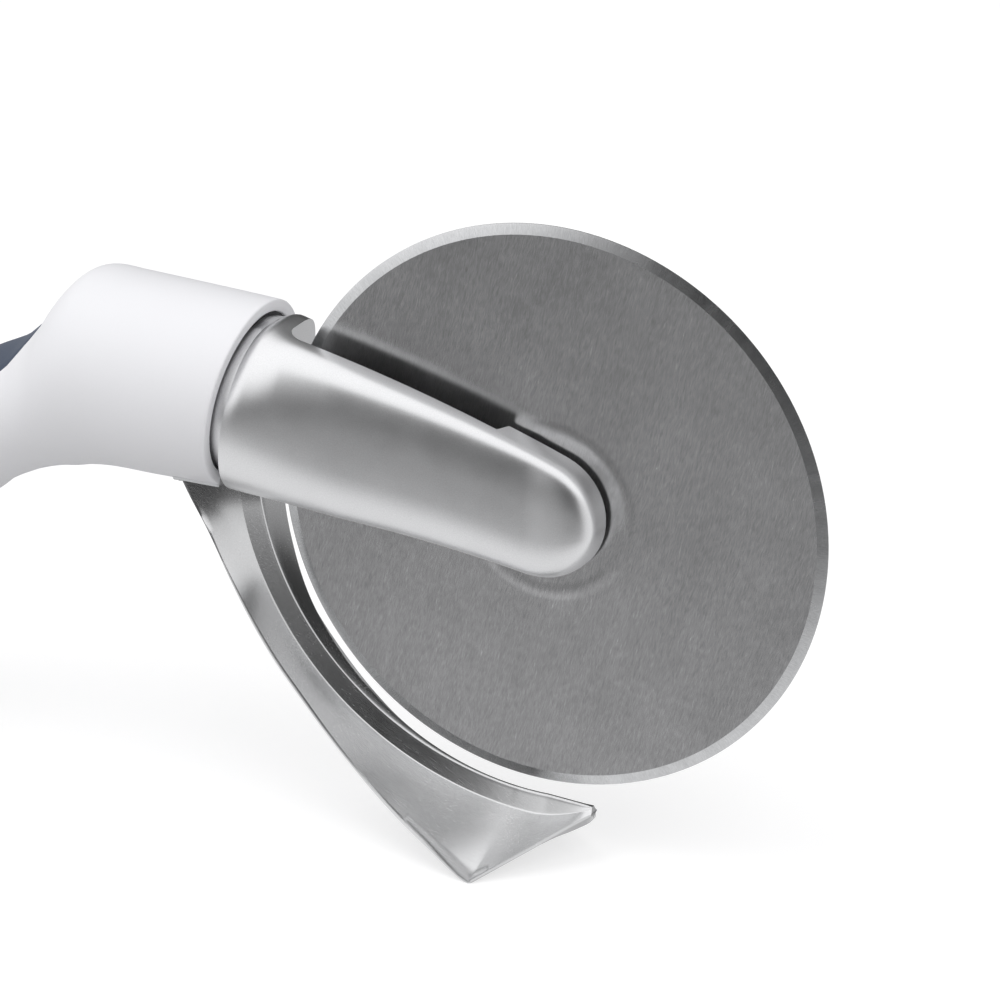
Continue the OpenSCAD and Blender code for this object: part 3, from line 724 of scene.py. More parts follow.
def stem(name, grow, low, high, ahead=0.0):
    """Upright body with the outline of the foot's stem between two heights"""
    outline = stem_outline(grow, ahead)
    return lofted(name, [[(x, y, z) for x, y in outline] for z in (low, high)])


TURNS = (0, 0.1, 0.2, 0.3, 0.4, 0.5, 0.6, 0.7, 0.8, 0.9, 1)
HALVES = (FOOT_TOP_HALF / FOOT_HALF, 0.53, 0.569, 0.588, 0.587, 0.583, 0.605, 0.659, 0.767,
          0.907, 1)
FLARE = math.hypot(*CORNER) - WING_FROM
FLARES = ((WING_BACK - WING_FROM) / FLARE, 0.669, 0.385, 0.231, 0.172, 0.166, 0.243, 0.361,
          0.491, 0.64, 1)
RIB_WIDE = 4.6
RIB_THIN = 0.5
RIB_FADE = 260
RIB_NARROWING = 1.6
RIB_SHARES = (0.15, 0.8)
OPENING = 6
OPENING_RUN = 22
CREST_CROWN = 0.03
CREST_TIP = 1.1
CREST_STEPS = 4
FILLET_STEPS = 6
WING_T = 2.4
WING_EDGE_T = 0.8
WING_SHARES = (0.22, 0.34, 0.46, 0.58, 0.7, 0.8, 0.9)
CORNER_SOFT = 0.35
SLIM_FROM, SLIM_TO, SLIM_RUN, SLIM_BY = 196, 260, 14, 2


def foot_ring(a, edge, half, rib, fillet, crest_edge):
    """Section of the foot in the plane through the axle at a degrees"""
    turn = math.radians(a)
    crest = CREST_R if a < 270 else -(CREST_R + 0.07 * (a - 270)) / math.sin(turn)
    narrowed = clamp((RIB_FADE - a) / (RIB_FADE - FOOT_START)) ** RIB_NARROWING
    wc = min(mix(RIB_THIN, RIB_WIDE, narrowed), half / 2)
    share = rib / RIB_H
    opened = ease((a - FOOT_START - OPENING) / OPENING_RUN)
    rb, wb = crest + rib, wc + share
    f = fillet * share * max(opened, 0.1)
    run = math.hypot(edge - rb, half - wb)
    nr, ny = (half - wb) / run, (edge - rb) / run
    bev = min(crest_edge, wc * 0.8, rib / 2.5)
    mid_r, mid_w = mix(rb, edge, 0.5), mix(wb, half, 0.5)
    side = rounded((crest, wc - bev), (crest, wc), (crest + bev, wc), CREST_STEPS)
    side += [(mix(crest + bev, rb - f, v), mix(wc, wb - f / RIB_H, v)) for v in RIB_SHARES]
    side += rounded((rb - f, wb - f / RIB_H), (rb, wb),
                    (mix(rb, edge, f / run), mix(wb, half, f / run)), FILLET_STEPS)
    side += [(mix(rb, edge, v), mix(wb, half, v)) for v in WING_SHARES]
    side += rounded((edge - WING_EDGE_T * nr, half - 0.15), (edge - WING_EDGE_T / 2 * nr, half),
                    (edge, half - WING_EDGE_T * ny), 3)
    side += [(mix(edge + 0.96, mid_r + WING_T * nr, opened),
              mix(half * 0.6, max(mid_w - WING_T * ny, half / 4), opened))]
    under = mix(edge + 1.2, min(crest + rib + WING_T, edge), opened)
    ring = [(crest - side[0][1] * CREST_CROWN, 0), *((r, -y) for r, y in side), (under, 0),
            *side[::-1]]
    return [(r * math.cos(turn), y, r * math.sin(turn)) for r, y in ring]


def handle_middle(u):
    """Place of the handle's middle line at the share u of its length"""
    return -MOUTH_BACK - HANDLE_L * u, MOUTH_RISE - DROP * curve(RUNS, DROPS, u)


def handle_lean(u):
    """Lean of the handle's section: the mouth's, then none, then square to the grip"""
    return (MOUTH_TILT * (1 - ease(u / UPRIGHT_FROM))
            - GRIP_SLOPE * ease((u - UPRIGHT_TO) / GRIP_RUN))


def handle_share(shares, u):
    """Half height or half width of the handle at the share u of its length"""
    radii = [s * (COLLAR_R if i < NECK_ROWS else BUTT_R) for i, s in enumerate(shares)]
    return curve(RUNS, radii, u)


def handle_ring(u, wall=0.0, sides=96, tail=0.0):
    """Section of the handle at the share u of its length, wall below its skin"""
    lean = handle_lean(u)
    past = math.sin(tail) * (BUTT_R - wall)
    cx, cz = handle_middle(u)
    cx -= past * math.cos(GRIP_SLOPE)
    cz -= past * math.sin(GRIP_SLOPE)
    high = (handle_share(HIGHS, u) - wall) * math.cos(tail) * (math.cos(lean) if lean < 0 else 1)
    wide = (handle_share(WIDES, u) - wall) * math.cos(tail)
    ring = []
    for k in range(sides):
        a = math.tau * k / sides
        v = high * math.cos(a)
        ring.append((cx + math.tan(lean) * v, -wide * math.sin(a), cz + v))
    return ring


def pad_width(u, grow):
    """Half width of the pad, in degrees round the handle, with round ends"""
    p, q = clamp((u - PAD_FROM) / PAD_FRONT_RUN), clamp((PAD_TO - u) / PAD_BACK_RUN)
    return grow + PAD_HALF_TURN * math.sqrt(1 - (1 - p) ** 2) * math.sqrt(1 - (1 - q) ** 2)


def pad_ring(u, grow, play, outer, inner, n=16):
    """Section of the strip over the grip; outer and inner lie below the handle's skin"""
    width = max(pad_width(u - play, grow), pad_width(u + play, grow))
    lean, (cx, cz) = handle_lean(u), handle_middle(u)
    high, wide = handle_share(HIGHS, u), handle_share(WIDES, u)
    ring = []
    for depth, sign in ((outer, 1), (inner, -1)):
        for k in range(-n, n + 1):
            a = math.radians(sign * width * k / n)
            sink = depth
            if sign > 0 and grow <= 0:
                sink += PAD_EDGE_SINK * max(0, abs(k) / n - PAD_EDGE_FROM) / (1 - PAD_EDGE_FROM)
            v = (high - sink) * math.cos(a) * (math.cos(lean) if lean < 0 else 1)
            ring.append((cx + math.tan(lean) * v, -(wide - sink) * math.sin(a), cz + v))
    return ring


def pad_form(name, grow, outer, inner, play=0.0):
    """The pad's strip, grown in degrees round the handle and by play at its ends"""
    shares = [0.002, 0.006, 0.012, 0.025, 0.04, 0.06] + between(0.085, 0.915, 40) \
        + [0.94, 0.96, 0.975, 0.988, 0.998]
    places = [mix(PAD_FROM, PAD_TO, s) for s in shares]
    if play:
        places = [places[0] - play, *places, places[-1] + play]
    return lofted(name, [pad_ring(u, grow, play, outer, inner) for u in places])


def tang():
    """Flat bar inside the handle, along the grip's middle line"""
    cx, cz = handle_middle(TANG_AT)
    ahead = (cx + MOUTH_BACK + PLUG_L * 0.8) / -math.cos(GRIP_SLOPE)
    behind = (MOUTH_BACK + TANG_BACK + cx) / math.cos(GRIP_SLOPE)
    clear_selection()
    bpy.ops.mesh.primitive_cube_add(size=MM)
    obj = name_new("tang")
    obj.scale = (behind + ahead, TANG_WIDE, TANG_HIGH)
    obj.rotation_euler = (0, -GRIP_SLOPE, 0)
    reach = (ahead - behind) / 2
    obj.location = place(cx + reach * math.cos(GRIP_SLOPE), 0, cz + reach * math.sin(GRIP_SLOPE))
    bpy.context.view_layer.update()
    return settle(obj)


# Settings

def length(name, description, default):
    """A size in metres, given here in millimetres"""
    return bpy.props.FloatProperty(name=name, description=description, default=default * MM,
                                   min=0.0, precision=5, unit="LENGTH", subtype="DISTANCE")


def colour(name, description, default):
    return bpy.props.FloatVectorProperty(name=name, description=description, default=default,
                                         size=3, min=0.0, max=1.0, subtype="COLOR")


class CutterSizes(bpy.types.PropertyGroup):
    """Sizes of the wheel and of the softened edges"""

    blade_radius: length("Blade radius", "From the axle to the cutting edge",
                         (BLADE_HIGH.x - BLADE_LOW.x) / 2 / MM)
    bevel_width: length("Ground edge", "Width of the ground edge on each side", 1.85)
    honed_width: length("Honed edge", "Width of the narrow facet at the cutting edge", 0.4)
    ring_radius: length("Pressed ring", "Radius of the ring pressed round the hub", 14.6)
    ring_width: length("Pressed ring width", "Width of the pressed ring", 3.6)
    ring_height: length("Pressed ring height", "Height of the pressed ring", 0.05)
    lip_wall: length("Lip wall", "Wall of the collar's lip", 2.15)
    lip_soft: length("Lip rounding", "Rounding of the collar's lip", 0.4)
    rib_fillet: length("Rib fillet", "Fillet between the foot's rib and its wings", 0.22)
    crest_soft: length("Crest rounding", "Rounding of the rib's crest", 0.35)
    hang_hole: length("Hanging hole", "Radius of the hole in the butt", 4.0)
    streak_turn: bpy.props.FloatProperty(
        name="Brushing direction", description="Lean of the streaks on the blade",
        default=math.radians(-15), subtype="ANGLE", unit="ROTATION")


class CutterColours(bpy.types.PropertyGroup):
    """Colours of the finishes"""

    blade: colour("Blade", "Brushed sheet of the blade", (0.57, 0.57, 0.574))
    edge: colour("Edge", "Ground edge of the blade", (0.66, 0.665, 0.67))
    arm: colour("Arm", "Satin casting of the arm", (0.82, 0.823, 0.828))
    foot: colour("Foot", "Satin steel of the foot", (0.75, 0.753, 0.755))
    shell: colour("Shell", "White plastic of the handle", (0.835, 0.835, 0.855))
    pad: colour("Pad", "Navy rubber of the grip", (0.045, 0.061, 0.096))
    seal: colour("Seal", "Dark rubber in the collar", (0.03, 0.03, 0.034))
    gasket: colour("Gasket", "Pale plastic rim round the foot's stem", (0.7, 0.71, 0.72))
    hub: colour("Hub", "Dark acetal of the wheel's hub", (0.06, 0.06, 0.064))
    washer: colour("Washers", "Natural acetal of the washers", (0.72, 0.72, 0.69))
    steel: colour("Fittings", "Bright steel of the screws and the sleeve", (0.6, 0.61, 0.62))
    core: colour("Core", "Grey nylon inside the handle", (0.5, 0.52, 0.55))


class CutterStudio(bpy.types.PropertyGroup):
    """Light and surroundings"""

    sky: bpy.props.FloatProperty(
        name="Sky", description="Strength of the soft light from all round", default=0.7, min=0.0)
    key_power: bpy.props.FloatProperty(
        name="Overhead lamp", description="Power of the large lamp overhead",
        default=4.6, min=0.0, unit="POWER")
    side_power: bpy.props.FloatProperty(
        name="Right lamp", description="Power of the lamp in front and to the right",
        default=2.2, min=0.0, unit="POWER")
    dusk: bpy.props.FloatProperty(
        name="Dim room",
        description="Brightness of the darkest part of the room that metal mirrors",
        default=0.03, min=0.0, max=1.0, subtype="FACTOR")


# Operators

class BuildStep:
    """Common ground of the building steps"""

    bl_options = {"REGISTER", "UNDO"}

    @property
    def sizes(self):
        return bpy.context.scene.cutter_sizes

    @property
    def colours(self):
        return bpy.context.scene.cutter_colours


class CUTTER_OT_blade(BuildStep, bpy.types.Operator):
    """Turn the blade with its ground edge and the ring pressed round the hub"""

    bl_idname = "cutter.blade"
    bl_label = "Blade"

    def execute(self, context):
        s = self.sizes
        radius, bevel, honed = s.blade_radius / MM, s.bevel_width / MM, s.honed_width / MM
        ring_r, ring_w, ring_h = s.ring_radius / MM, s.ring_width / MM, s.ring_height / MM
        half, edge = BLADE_T / 2, EDGE_T / 2
        honed_y = mix(edge, half, honed / bevel) + HONED_FULL
        steps = 20
        radii = between(ring_r - ring_w / 2, ring_r + ring_w / 2, steps)
        lift = [ring_h * (1 - math.cos(math.tau * i / steps)) / 2 for i in range(steps + 1)]
        near = [(r, -half - h) for r, h in zip(radii, lift)]
        far = [(r, half - h) for r, h in zip(radii, lift)][::-1]
        profile = ([(HOLE_R, -half)] + near
                   + [(radius - bevel, -half), (radius - honed, -honed_y), (radius, -edge),
                      (radius, edge), (radius - honed, honed_y), (radius - bevel, half)]
                   + far + [(HOLE_R, half), (HOLE_R, -half)])
        obj = spun("blade", profile, 180)
        obj = finish_piece(obj, "blade_disc", "wheel",
                           blade_finish(self.colours.blade, s.streak_turn),
                           edge_finish(self.colours.edge), smooth=8)
        for face in obj.data.polygons:
            if (face.center - HUB).length > (radius - bevel) * MM:
                face.material_index = 1
        return {"FINISHED"}


class CUTTER_OT_hub(BuildStep, bpy.types.Operator):
    """Turn the hub in the blade, the two thrust washers and the sleeve"""

    bl_idname = "cutter.hub"
    bl_label = "Hub and washers"

    def execute(self, context):
        half, bore, soft = BLADE_T / 2, SLEEVE_R + RUN_GAP, 0.15
        hub = spun("hub", both_halves([
            (bore, -HUB_HALF), (HUB_R - soft, -HUB_HALF), (HUB_R, soft - HUB_HALF),
            (HUB_R, -half), (HOLE_R, -half)]))
        finish_piece(hub, "blade_hub", "wheel", plain_finish("hub_acetal", self.colours.hub, 0.45))
        acetal = plain_finish("washer_acetal", self.colours.washer, 0.4)
        start = HUB_HALF + WASHER_PLAY
        for node, side in (("near_washer", -1), ("far_washer", 1)):
            soft = 0.06
            ring = [(bore, start), (HUB_R - soft, start), (HUB_R, start + soft),
                    (HUB_R, start + WASHER_T - soft), (HUB_R - soft, start + WASHER_T),
                    (bore, start + WASHER_T), (bore, start)]
            washer = spun(node + "_disc", [(r, side * y) for r, y in ring])
            finish_piece(washer, node, "handle", acetal)
        inside, chamfer = AXLE_R + THREAD_PLAY, 0.2
        sleeve = spun("sleeve", both_halves([
            (inside, -SEAT), (SLEEVE_R - chamfer, -SEAT), (SLEEVE_R, chamfer - SEAT)]))
        finish_piece(sleeve, "axle_sleeve", "handle",
                     plain_finish("sleeve_steel", self.colours.steel, 0.25, 1.0, 0.2))
        return {"FINISHED"}


def hex_socket(obj, low, high, centre=(0, 0, 0), along="Y"):
    """Cuts a hexagon socket into a screw's head"""
    tool = bar("socket_tool", HEX_W / 2 / math.cos(math.pi / 6), low, high, 6, centre, along)
    return combine(obj, tool)


class CUTTER_OT_axle(BuildStep, bpy.types.Operator):
    """Turn the axle screw with its domed head, socket and thread"""

    bl_idname = "cutter.axle"
    bl_label = "Axle screw"

    def execute(self, context):
        dome = (HEAD_R ** 2 + HEAD_H ** 2) / (2 * HEAD_H)
        top, rim, depth, bevel = SEAT + HEAD_H, 0.35, 0.3, 0.4
        arc = [(r, top - dome + math.sqrt(dome ** 2 - r * r))
               for r in between(HEAD_R - rim, 0, 20)]
        pitch, low = 0.8, -SEAT - AXLE_GRIP
        thread = [(AXLE_R - (depth if i % 2 else 0), low + 0.3 + pitch / 2 * i)
                  for i in range(11)]
        screw = spun("axle_screw_turned", [
            (0, low), (AXLE_R - bevel, low), *thread, (AXLE_R, low + bevel + pitch * 5.5),
            (AXLE_R, SEAT), (HEAD_R - rim, SEAT), (HEAD_R, SEAT + rim / 2), *arc], 96)
        hex_socket(screw, SEAT + HEAD_H / 3, top + 1)
        finish_piece(screw, "axle_screw", "handle",
                     plain_finish("screw_steel", self.colours.steel, 0.16, 1.0, 0.25))
        return {"FINISHED"}


class CUTTER_OT_arm(BuildStep, bpy.types.Operator):
    """Loft the cast arm, join its flange, plug and tang, and drill it"""

    bl_idname = "cutter.arm"
    bl_label = "Arm"

    def execute(self, context):
        root = [ROOT_X + ROOT_EASE * u for u in (0, 0.03, 0.08, 0.15, 0.24, 0.36, 0.52, 0.74, 1)]
        stub = between(root[-1], SLOT_X, 5)[1:]
        fillet = [SLOT_X + SLOT_FILLET * (1 - math.cos(math.radians(a))) for a in range(8, 91, 7)]
        long = between(fillet[-1], BOSS_X - BOSS_RAMP, 26)[1:]
        ramp = between(BOSS_X - BOSS_RAMP, BOSS_X + BOSS_RAMP, 8)[1:]
        boss = between(ramp[-1], 0, 6)[1:]
        end = [ARM_END_R * math.sin(math.radians(a)) for a in
               (8, 15, 22, 29, 35, 41, 47, 52, 57, 62, 66, 70, 74, 77, 80, 83, 86)]
        arm = lofted("arm_casting", [arm_ring(x, True) for x in root + stub]
                     + [arm_ring(x, False) for x in fillet + long + ramp + boss + end])
        flange = bar("flange", FLANGE_R, -PAST, PAST, 128, MOUTH, "X")
        slice_off(slice_off(flange, BAND_L + 0.5, True), -FLANGE_L, False)
        plug = slice_off(bar("plug", PLUG_R, -PLUG_L, PAST, 96, MOUTH, "X"), BAND_L + 0.4, True)
        for extra in (flange, plug, tang()):
            combine(arm, extra, "UNION")
        combine(arm, stem("stem_tool", grow=STEM_PLAY, low=-COLLAR_R, high=STEM_RISE + STEM_PLAY,
                          ahead=0.4))
        for x in SCREW_PLACES:
            combine(arm, bar("screw_tool", SCREW_R + SCREW_PLAY, -1, SCREW_L, 32, (x, 0, 0), "Z"))
            combine(arm, bar("head_tool", SCREW_HEAD_R + SCREW_PLAY, SCREW_SEAT, 2 * PAST, 40,
                             (x, 0, 0), "Z"))
        combine(arm, bar("axle_tool", AXLE_R + THREAD_PLAY, -SEAT - AXLE_GRIP - 0.3, 1, 48))
        for u in ANCHORS:
            cx, cz = handle_middle(u)
            combine(arm, bar("anchor_tool", ANCHOR_R, -TANG_WIDE, TANG_WIDE, 32, (cx, 0, cz)))
        finish_piece(arm, "arm", "handle", cast_finish(self.colours.arm), smooth=34)
        return {"FINISHED"}


class CUTTER_OT_seal(BuildStep, bpy.types.Operator):
    """Turn the soft ring between the arm's flange and the collar's lip"""

    bl_idname = "cutter.seal"
    bl_label = "Seal"

    def execute(self, context):
        inner, outer = FLANGE_R + MOULD_GAP, COLLAR_R - self.sizes.lip_wall / MM - MOULD_GAP
        reach = 8
        ring = spun("seal_ring", both_halves([(inner, -reach), (outer, -reach)]),
                    128, MOUTH, "X")
        slice_off(slice_off(ring, -SEAL_SINK, True), -FLANGE_L, False)
        combine(ring, stem("stem_tool", grow=1.3, low=-COLLAR_R, high=COLLAR_R / 2))
        finish_piece(ring, "arm_seal", "handle",
                     plain_finish("seal_rubber", self.colours.seal, 0.6, grain=0.2, depth=0.01))
        return {"FINISHED"}


class CUTTER_OT_foot(BuildStep, bpy.types.Operator):
    """Loft the guard foot with its rib and wings and join its stem"""

    bl_idname = "cutter.foot"
    bl_label = "Guard foot"

    def execute(self, context):
        fillet, soft = self.sizes.rib_fillet / MM, self.sizes.crest_soft / MM
        corner_turn = 180 + math.degrees(math.atan2(-CORNER[1], -CORNER[0]))
        rings = []
        for u in between(0, 0.97, 66) + [0.98, 0.988, 0.994, 1]:
            a = mix(FOOT_START, corner_turn, u)
            half = FOOT_HALF * curve(TURNS, HALVES, u) - self.off_corner(1 - u)
            edge = WING_FROM + FLARE * curve(TURNS, FLARES, u)
            rings.append(self.slimmed(foot_ring(a, edge, half, RIB_H, fillet, soft), a, half))
        for v in [0.006, 0.014, 0.025] + between(0.05, 0.95, 28):
            q = 1 - v
            x, z = mix(TIP[0], CORNER[0], q), mix(TIP[1], CORNER[1], q)
            a = 180 + math.degrees(math.atan2(-z, -x))
            half = mix(RIB_THIN, FOOT_HALF, q) - self.off_corner(v)
            rib = RIB_H * math.sin(math.pi / 2 * clamp(q / 0.7))
            ring = foot_ring(a, math.hypot(x, z), half, rib, fillet, mix(CREST_TIP, soft, q))
            rings.append(self.slimmed(ring, a, half))
        foot = lofted("guard_foot_blade", self.eased(rings, 70))
        combine(foot, stem("stem_body", grow=-0.25, low=-2.8, high=STEM_RISE), "UNION")
        cut_off(foot, (0, 0, 0), (0, 0, 1), False)
        for x in SCREW_PLACES:
            combine(foot, bar("screw_tool", SCREW_R + THREAD_PLAY, SCREW_SEAT - SCREW_L - 1,
                              STEM_RISE + 2, 32, (x, 0, 0), "Z"))
        finish_piece(foot, "guard_foot", "handle", foot_finish(self.colours.foot), smooth=36)
        return {"FINISHED"}

    @staticmethod
    def off_corner(share):
        """How much less the wing reaches out at a share of its run from the corner"""
        return CORNER_SOFT * math.exp(-(share * 70) ** 2)

    @staticmethod
    def slimmed(ring, a, half):
        """Draws the far wing in a little where it would fill the gap behind the blade"""
        slim = 1 - SLIM_BY / half * ease((a - SLIM_FROM) / SLIM_RUN) * (
            1 - ease((a - SLIM_TO) / SLIM_RUN))
        return [(x, y * slim if y > 0 else y, z) for x, y, z in ring]

    @staticmethod
    def eased(rings, corner, reach=20, passes=20):
        """Lets the wings turn softly at the corners, while their edges stay where they are"""
        count = len(rings[0])
        first = 1 + (CREST_STEPS + 1) + len(RIB_SHARES) + (FILLET_STEPS + 1)
        for turn in range(passes):
            near = [first + k for k, share in enumerate(WING_SHARES)
                    if turn < passes * (1 - share)]
            for j in near + [count - j for j in near]:
                line = [Vector(ring[j]) for ring in rings]
                for i in range(corner - reach, corner + reach + 1):
                    rings[i][j] = tuple(line[i] * 0.5 + (line[i - 1] + line[i + 1]) * 0.25)
        return rings


class CUTTER_OT_gasket(BuildStep, bpy.types.Operator):
    """Dress the thin rim where the foot's stem enters the collar"""

    bl_idname = "cutter.gasket"
    bl_label = "Gasket"

    def execute(self, context):
        finish_piece(copied_node("foot_gasket", 0.12), "foot_gasket", "handle",
                     plain_finish("gasket_plastic", self.colours.gasket, 0.4))
        return {"FINISHED"}


class CUTTER_OT_foot_screws(BuildStep, bpy.types.Operator):
    """Turn the two screws that hold the foot in the arm"""

    bl_idname = "cutter.foot_screws"
    bl_label = "Foot screws"

    def execute(self, context):
        steel = plain_finish("fixing_steel", self.colours.steel, 0.28, 1.0, 0.2)
        radius, head_r = SCREW_R, SCREW_HEAD_R
        low, seat, top = SCREW_SEAT - SCREW_L, SCREW_SEAT, SCREW_SEAT + SCREW_HEAD_H
        thread = [(radius - (0.2 if i % 2 else 0), low + 0.3 + 0.25 * i) for i in range(25)]
        for x, label in zip(SCREW_PLACES, ("rear", "front")):
            screw = spun("foot_screw_" + label, [
                (0, low), (radius - 0.3, low), *thread,
                (radius, seat), (head_r - 0.2, seat), (head_r, seat + 0.2),
                (head_r, top - 0.4), (head_r - 0.4, top), (0, top)],
                48, (x, 0, 0), "Z")
            hex_socket(screw, (seat + top) / 2, top + 1, (x, 0, 0), "Z")
            finish_piece(screw, "foot_screws", "handle", steel)
        return {"FINISHED"}


class CUTTER_OT_core(BuildStep, bpy.types.Operator):
    """Dress the stiff core that is moulded round the tang"""

    bl_idname = "cutter.core"
    bl_label = "Handle core"

    def execute(self, context):
        finish_piece(copied_node("handle_core"), "handle_core", "handle",
                     plain_finish("core_nylon", self.colours.core, 0.5))
        return {"FINISHED"}


class CUTTER_OT_shell(BuildStep, bpy.types.Operator):
    """Loft the white shell of the handle and open its mouth, pad bed and hanging hole"""

    bl_idname = "cutter.shell"
    bl_label = "Handle shell"

    def execute(self, context):
        s = self.sizes
        soft = s.lip_soft / MM
        shares = [soft * v / HANDLE_L for v in (0, 0.1, 0.3, 0.6, 1)]
        shares += between(0.008, 0.4, 80) + between(0.4, 1, 60)[1:]
        rings = []
        for u in shares:
            rest = max(0.0, 1 - u * HANDLE_L / soft)
            rings.append(handle_ring(u, soft * (1 - math.sqrt(1 - rest * rest)) if rest else 0.0))
        rings += [handle_ring(1, tail=math.radians(a)) for a in range(6, 87, 5)]
        shell = lofted("handle_white_shell", rings)
        lip_r = COLLAR_R - s.lip_wall / MM
        mouth = bar("mouth_tool", lip_r, -2 * LIP_L - 4, PAST, 128, MOUTH, "X")
        combine(shell, slice_off(mouth, -LIP_L, False))
        combine(shell, bar("plug_tool", PLUG_R + MOULD_GAP, -PLUG_L - MOULD_GAP, PAST / 2, 96,
                           MOUTH, "X"))
        core = [handle_ring(u, SHELL_T, 64)
                for u in (PLUG_L / HANDLE_L, *between(0.18, 0.86, 40), 0.87)]
        combine(shell, lofted("core_tool", core))
        combine(shell, pad_form("pad_tool", grow=0.4, outer=-1.0, inner=SHELL_T + 1.0,
                                play=0.15 / HANDLE_L))
        combine(shell, stem("stem_tool", grow=1.05, low=-2 * COLLAR_R, high=COLLAR_R / 4))
        bx, bz = handle_middle(1)
        hole, half, flare = s.hang_hole / MM, BUTT_R * WIDES[-1], 1.5
        rounds = rounded((hole, half - flare), (hole, half), (hole + flare, half), 6)
        profile = [(0, -2 * PAST), (hole + flare, -2 * PAST), *((r, -y) for r, y in rounds[::-1]),
                   *rounds, (hole + flare, 2 * PAST), (0, 2 * PAST)]
        combine(shell, spun("hole_tool", profile, 96, (bx, 0, bz)))

        def at_lip(p):
            from_mouth = p - Vector(MOUTH)
            return (abs(from_mouth.dot(MOUTH_FORWARD)) < 0.01
                    and abs(math.hypot(from_mouth.y, from_mouth.z) - lip_r) < 0.05)

        soften(shell, 0.3, at_lip)
        finish_piece(shell, "handle_shell", "handle", shell_finish(self.colours.shell), smooth=32)
        return {"FINISHED"}


class CUTTER_OT_pad(BuildStep, bpy.types.Operator):
    """Loft the soft pad over the grip"""

    bl_idname = "cutter.pad"
    bl_label = "Grip pad"

    def execute(self, context):
        pad = pad_form("grip_pad_strip", grow=0.0, outer=0.0, inner=SHELL_T - 0.15)
        finish_piece(pad, "grip_pad", "handle", pad_finish(self.colours.pad), smooth=40)
        return {"FINISHED"}


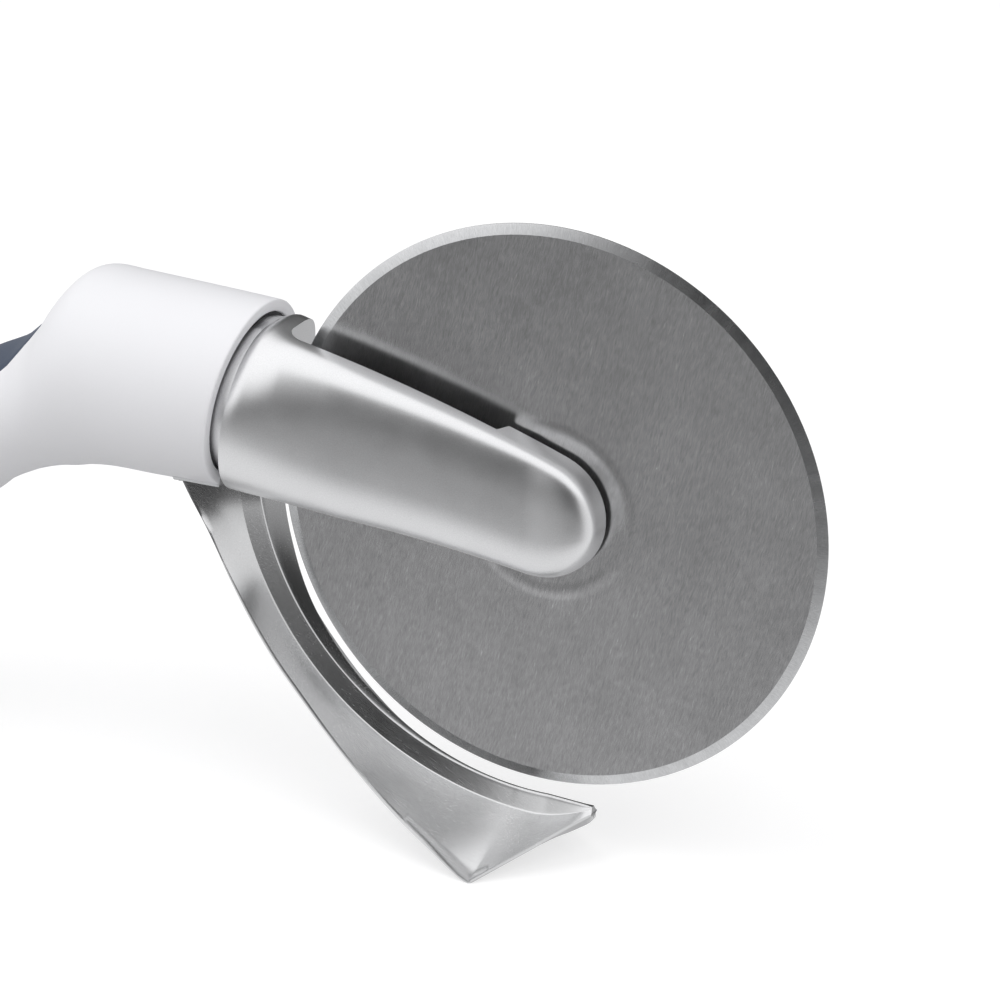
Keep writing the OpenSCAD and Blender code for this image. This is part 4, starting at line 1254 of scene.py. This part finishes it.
class CUTTER_OT_stage(BuildStep, bpy.types.Operator):
    """Set up the floor, the lamps, the surroundings and the camera"""

    bl_idname = "cutter.stage"
    bl_label = "Stage"

    def execute(self, context):
        studio = context.scene.cutter_studio
        self.floor()
        self.room(context.scene, studio)
        self.lamps(studio)
        self.camera(context.scene)
        context.scene.view_settings.view_transform = "Standard"
        return {"FINISHED"}

    def floor(self):
        """White plane that takes the shadows and glows a little to the camera"""
        clear_selection()
        bpy.ops.mesh.primitive_plane_add(size=8.0)
        floor = name_new("floor")
        f = Finish("floor_white")
        path = f.node("ShaderNodeLightPath", output="Is Camera Ray")
        diffuse = f.node("ShaderNodeBsdfDiffuse", {}, {"Color": (0.6, 0.6, 0.6, 1)})
        glow = f.node("ShaderNodeEmission", {}, {"Color": (1, 1, 1, 1), "Strength": 0.5 * path})
        lit = f.node("ShaderNodeAddShader", {}, {0: diffuse, 1: glow})
        f.node("ShaderNodeOutputMaterial", {}, {"Surface": lit}, output=None)
        floor.visible_glossy = False
        floor.data.materials.append(f.material)

    def room(self, scene, studio):
        """White to the camera, an even light on the object, and a lit room in what is glossy

        A ramp reads from 0 to 1, so a direction that falls below 0 is raised by a half.
        """
        scene.world = scene.world or bpy.data.worlds.new("room")
        f = Finish("room", scene.world)
        camera_ray = f.node("ShaderNodeLightPath", output="Is Camera Ray")
        glossy = f.node("ShaderNodeLightPath", output="Is Glossy Ray")
        toward = f.node("ShaderNodeTexCoord", output="Generated")
        x, y, z = (f.node("ShaderNodeSeparateXYZ", {}, {0: toward}, output=i) for i in range(3))
        near = y < 0
        rise = z + 0.15 * x - 0.3 * f.most(y, 0.0)
        above = 1.15 * f.ramp(rise, (OVERHEAD_FROM, studio.dusk), (OVERHEAD_TO, 1.0))
        left = (1.2 * f.ramp(z * 0.35 - x, *LEFT_WALL) * (y < 0.4)
                * f.ramp(z + 0.5, *LEFT_FOOT))
        right = f.ramp(x + 0.13 * (z < 0), *RIGHT_WALL) * (y < 0.4)
        front = f.ramp(-z, *TABLE) * near
        corner, middle, shine = (
            power * f.ramp(x + 0.5, *across) * f.ramp(-z, *down)
            for power, (across, down) in ((0.6, CORNER_SHADE), (0.4, MIDDLE_SHADE),
                                          (0.3, WING_SHINE)))
        behind = f.ramp(-z, *TABLE_BEHIND) * (1 - near)
        aside = f.ramp(-x, *TABLE_LEFT)
        below = f.most(front * (1 - corner) * (1 - middle) + shine, f.most(behind, aside))
        band = f.most(f.most(above, below), f.most(left, right))
        strength = camera_ray + glossy * band + (1 - camera_ray) * (1 - glossy) * studio.sky
        sky = f.node("ShaderNodeBackground", {}, {
            "Color": (0.99, 0.99, 1, 1), "Strength": strength})
        plain = f.node("ShaderNodeBackground", {}, {"Color": (1, 1, 1, 1), "Strength": 1.0})
        mixed = f.node("ShaderNodeMixShader", {}, {0: camera_ray, 1: sky, 2: plain})
        f.node("ShaderNodeOutputWorld", {}, {"Surface": mixed}, output=None)

    def lamps(self, studio):
        """Two square lamps, which metal doesn't mirror, aimed at the middle of the blade"""
        for name, spot, size, power in (
                ("lamp_overhead", (-0.46, -0.36, 1.0), 1.0, studio.key_power),
                ("lamp_right", (0.54, -0.5, 0.8), 0.6, studio.side_power)):
            bpy.ops.object.light_add(type="AREA", location=HUB + Vector(spot))
            lamp = bpy.context.object
            lamp.name = name
            lamp.data.shape, lamp.data.size = "SQUARE", size
            lamp.data.energy = power
            lamp.visible_glossy = False
            lamp.rotation_euler = (-Vector(spot)).to_track_quat("-Z", "Y").to_euler()

    def camera(self, scene):
        back = Vector((math.sin(VIEW_TURN) * math.cos(VIEW_RISE),
                       -math.cos(VIEW_TURN) * math.cos(VIEW_RISE), math.sin(VIEW_RISE)))
        bpy.ops.object.camera_add(location=place(*VIEW_POINT) + back * VIEW_DISTANCE)
        camera = bpy.context.object
        camera.name = "camera"
        camera.data.sensor_width = SENSOR
        camera.data.lens = FOCAL_PIXELS / IMAGE_PIXELS * SENSOR
        camera.rotation_euler = (-back).to_track_quat("-Z", "Y").to_euler()
        scene.camera = camera


class CUTTER_PT_panel(bpy.types.Panel):
    """Lists the building steps and the settings"""

    bl_idname = "CUTTER_PT_panel"
    bl_label = "Pizza Cutter Wheel"
    bl_space_type = "VIEW_3D"
    bl_region_type = "UI"
    bl_category = "Cutter"

    def draw(self, context):
        for step in STEPS:
            self.layout.operator(step.bl_idname)
        for name in GROUPS:
            group = getattr(context.scene, name)
            for key in group.bl_rna.properties.keys():
                if key not in ("rna_type", "name"):
                    self.layout.prop(group, key)


STEPS = (CUTTER_OT_stage, CUTTER_OT_blade, CUTTER_OT_hub, CUTTER_OT_axle, CUTTER_OT_arm,
         CUTTER_OT_seal, CUTTER_OT_foot, CUTTER_OT_gasket, CUTTER_OT_foot_screws, CUTTER_OT_core,
         CUTTER_OT_shell, CUTTER_OT_pad)
GROUPS = {"cutter_sizes": CutterSizes, "cutter_colours": CutterColours,
          "cutter_studio": CutterStudio}
CLASSES = (*GROUPS.values(), *STEPS, CUTTER_PT_panel)


def register():
    for item in CLASSES:
        bpy.utils.register_class(item)
    for name, group in GROUPS.items():
        setattr(bpy.types.Scene, name, bpy.props.PointerProperty(type=group))


def unregister():
    for name in GROUPS:
        delattr(bpy.types.Scene, name)
    for item in reversed(CLASSES):
        bpy.utils.unregister_class(item)


def main():
    register()
    for step in STEPS:
        group, name = step.bl_idname.split(".")
        getattr(getattr(bpy.ops, group), name)()


if __name__ == "__main__":
    main()
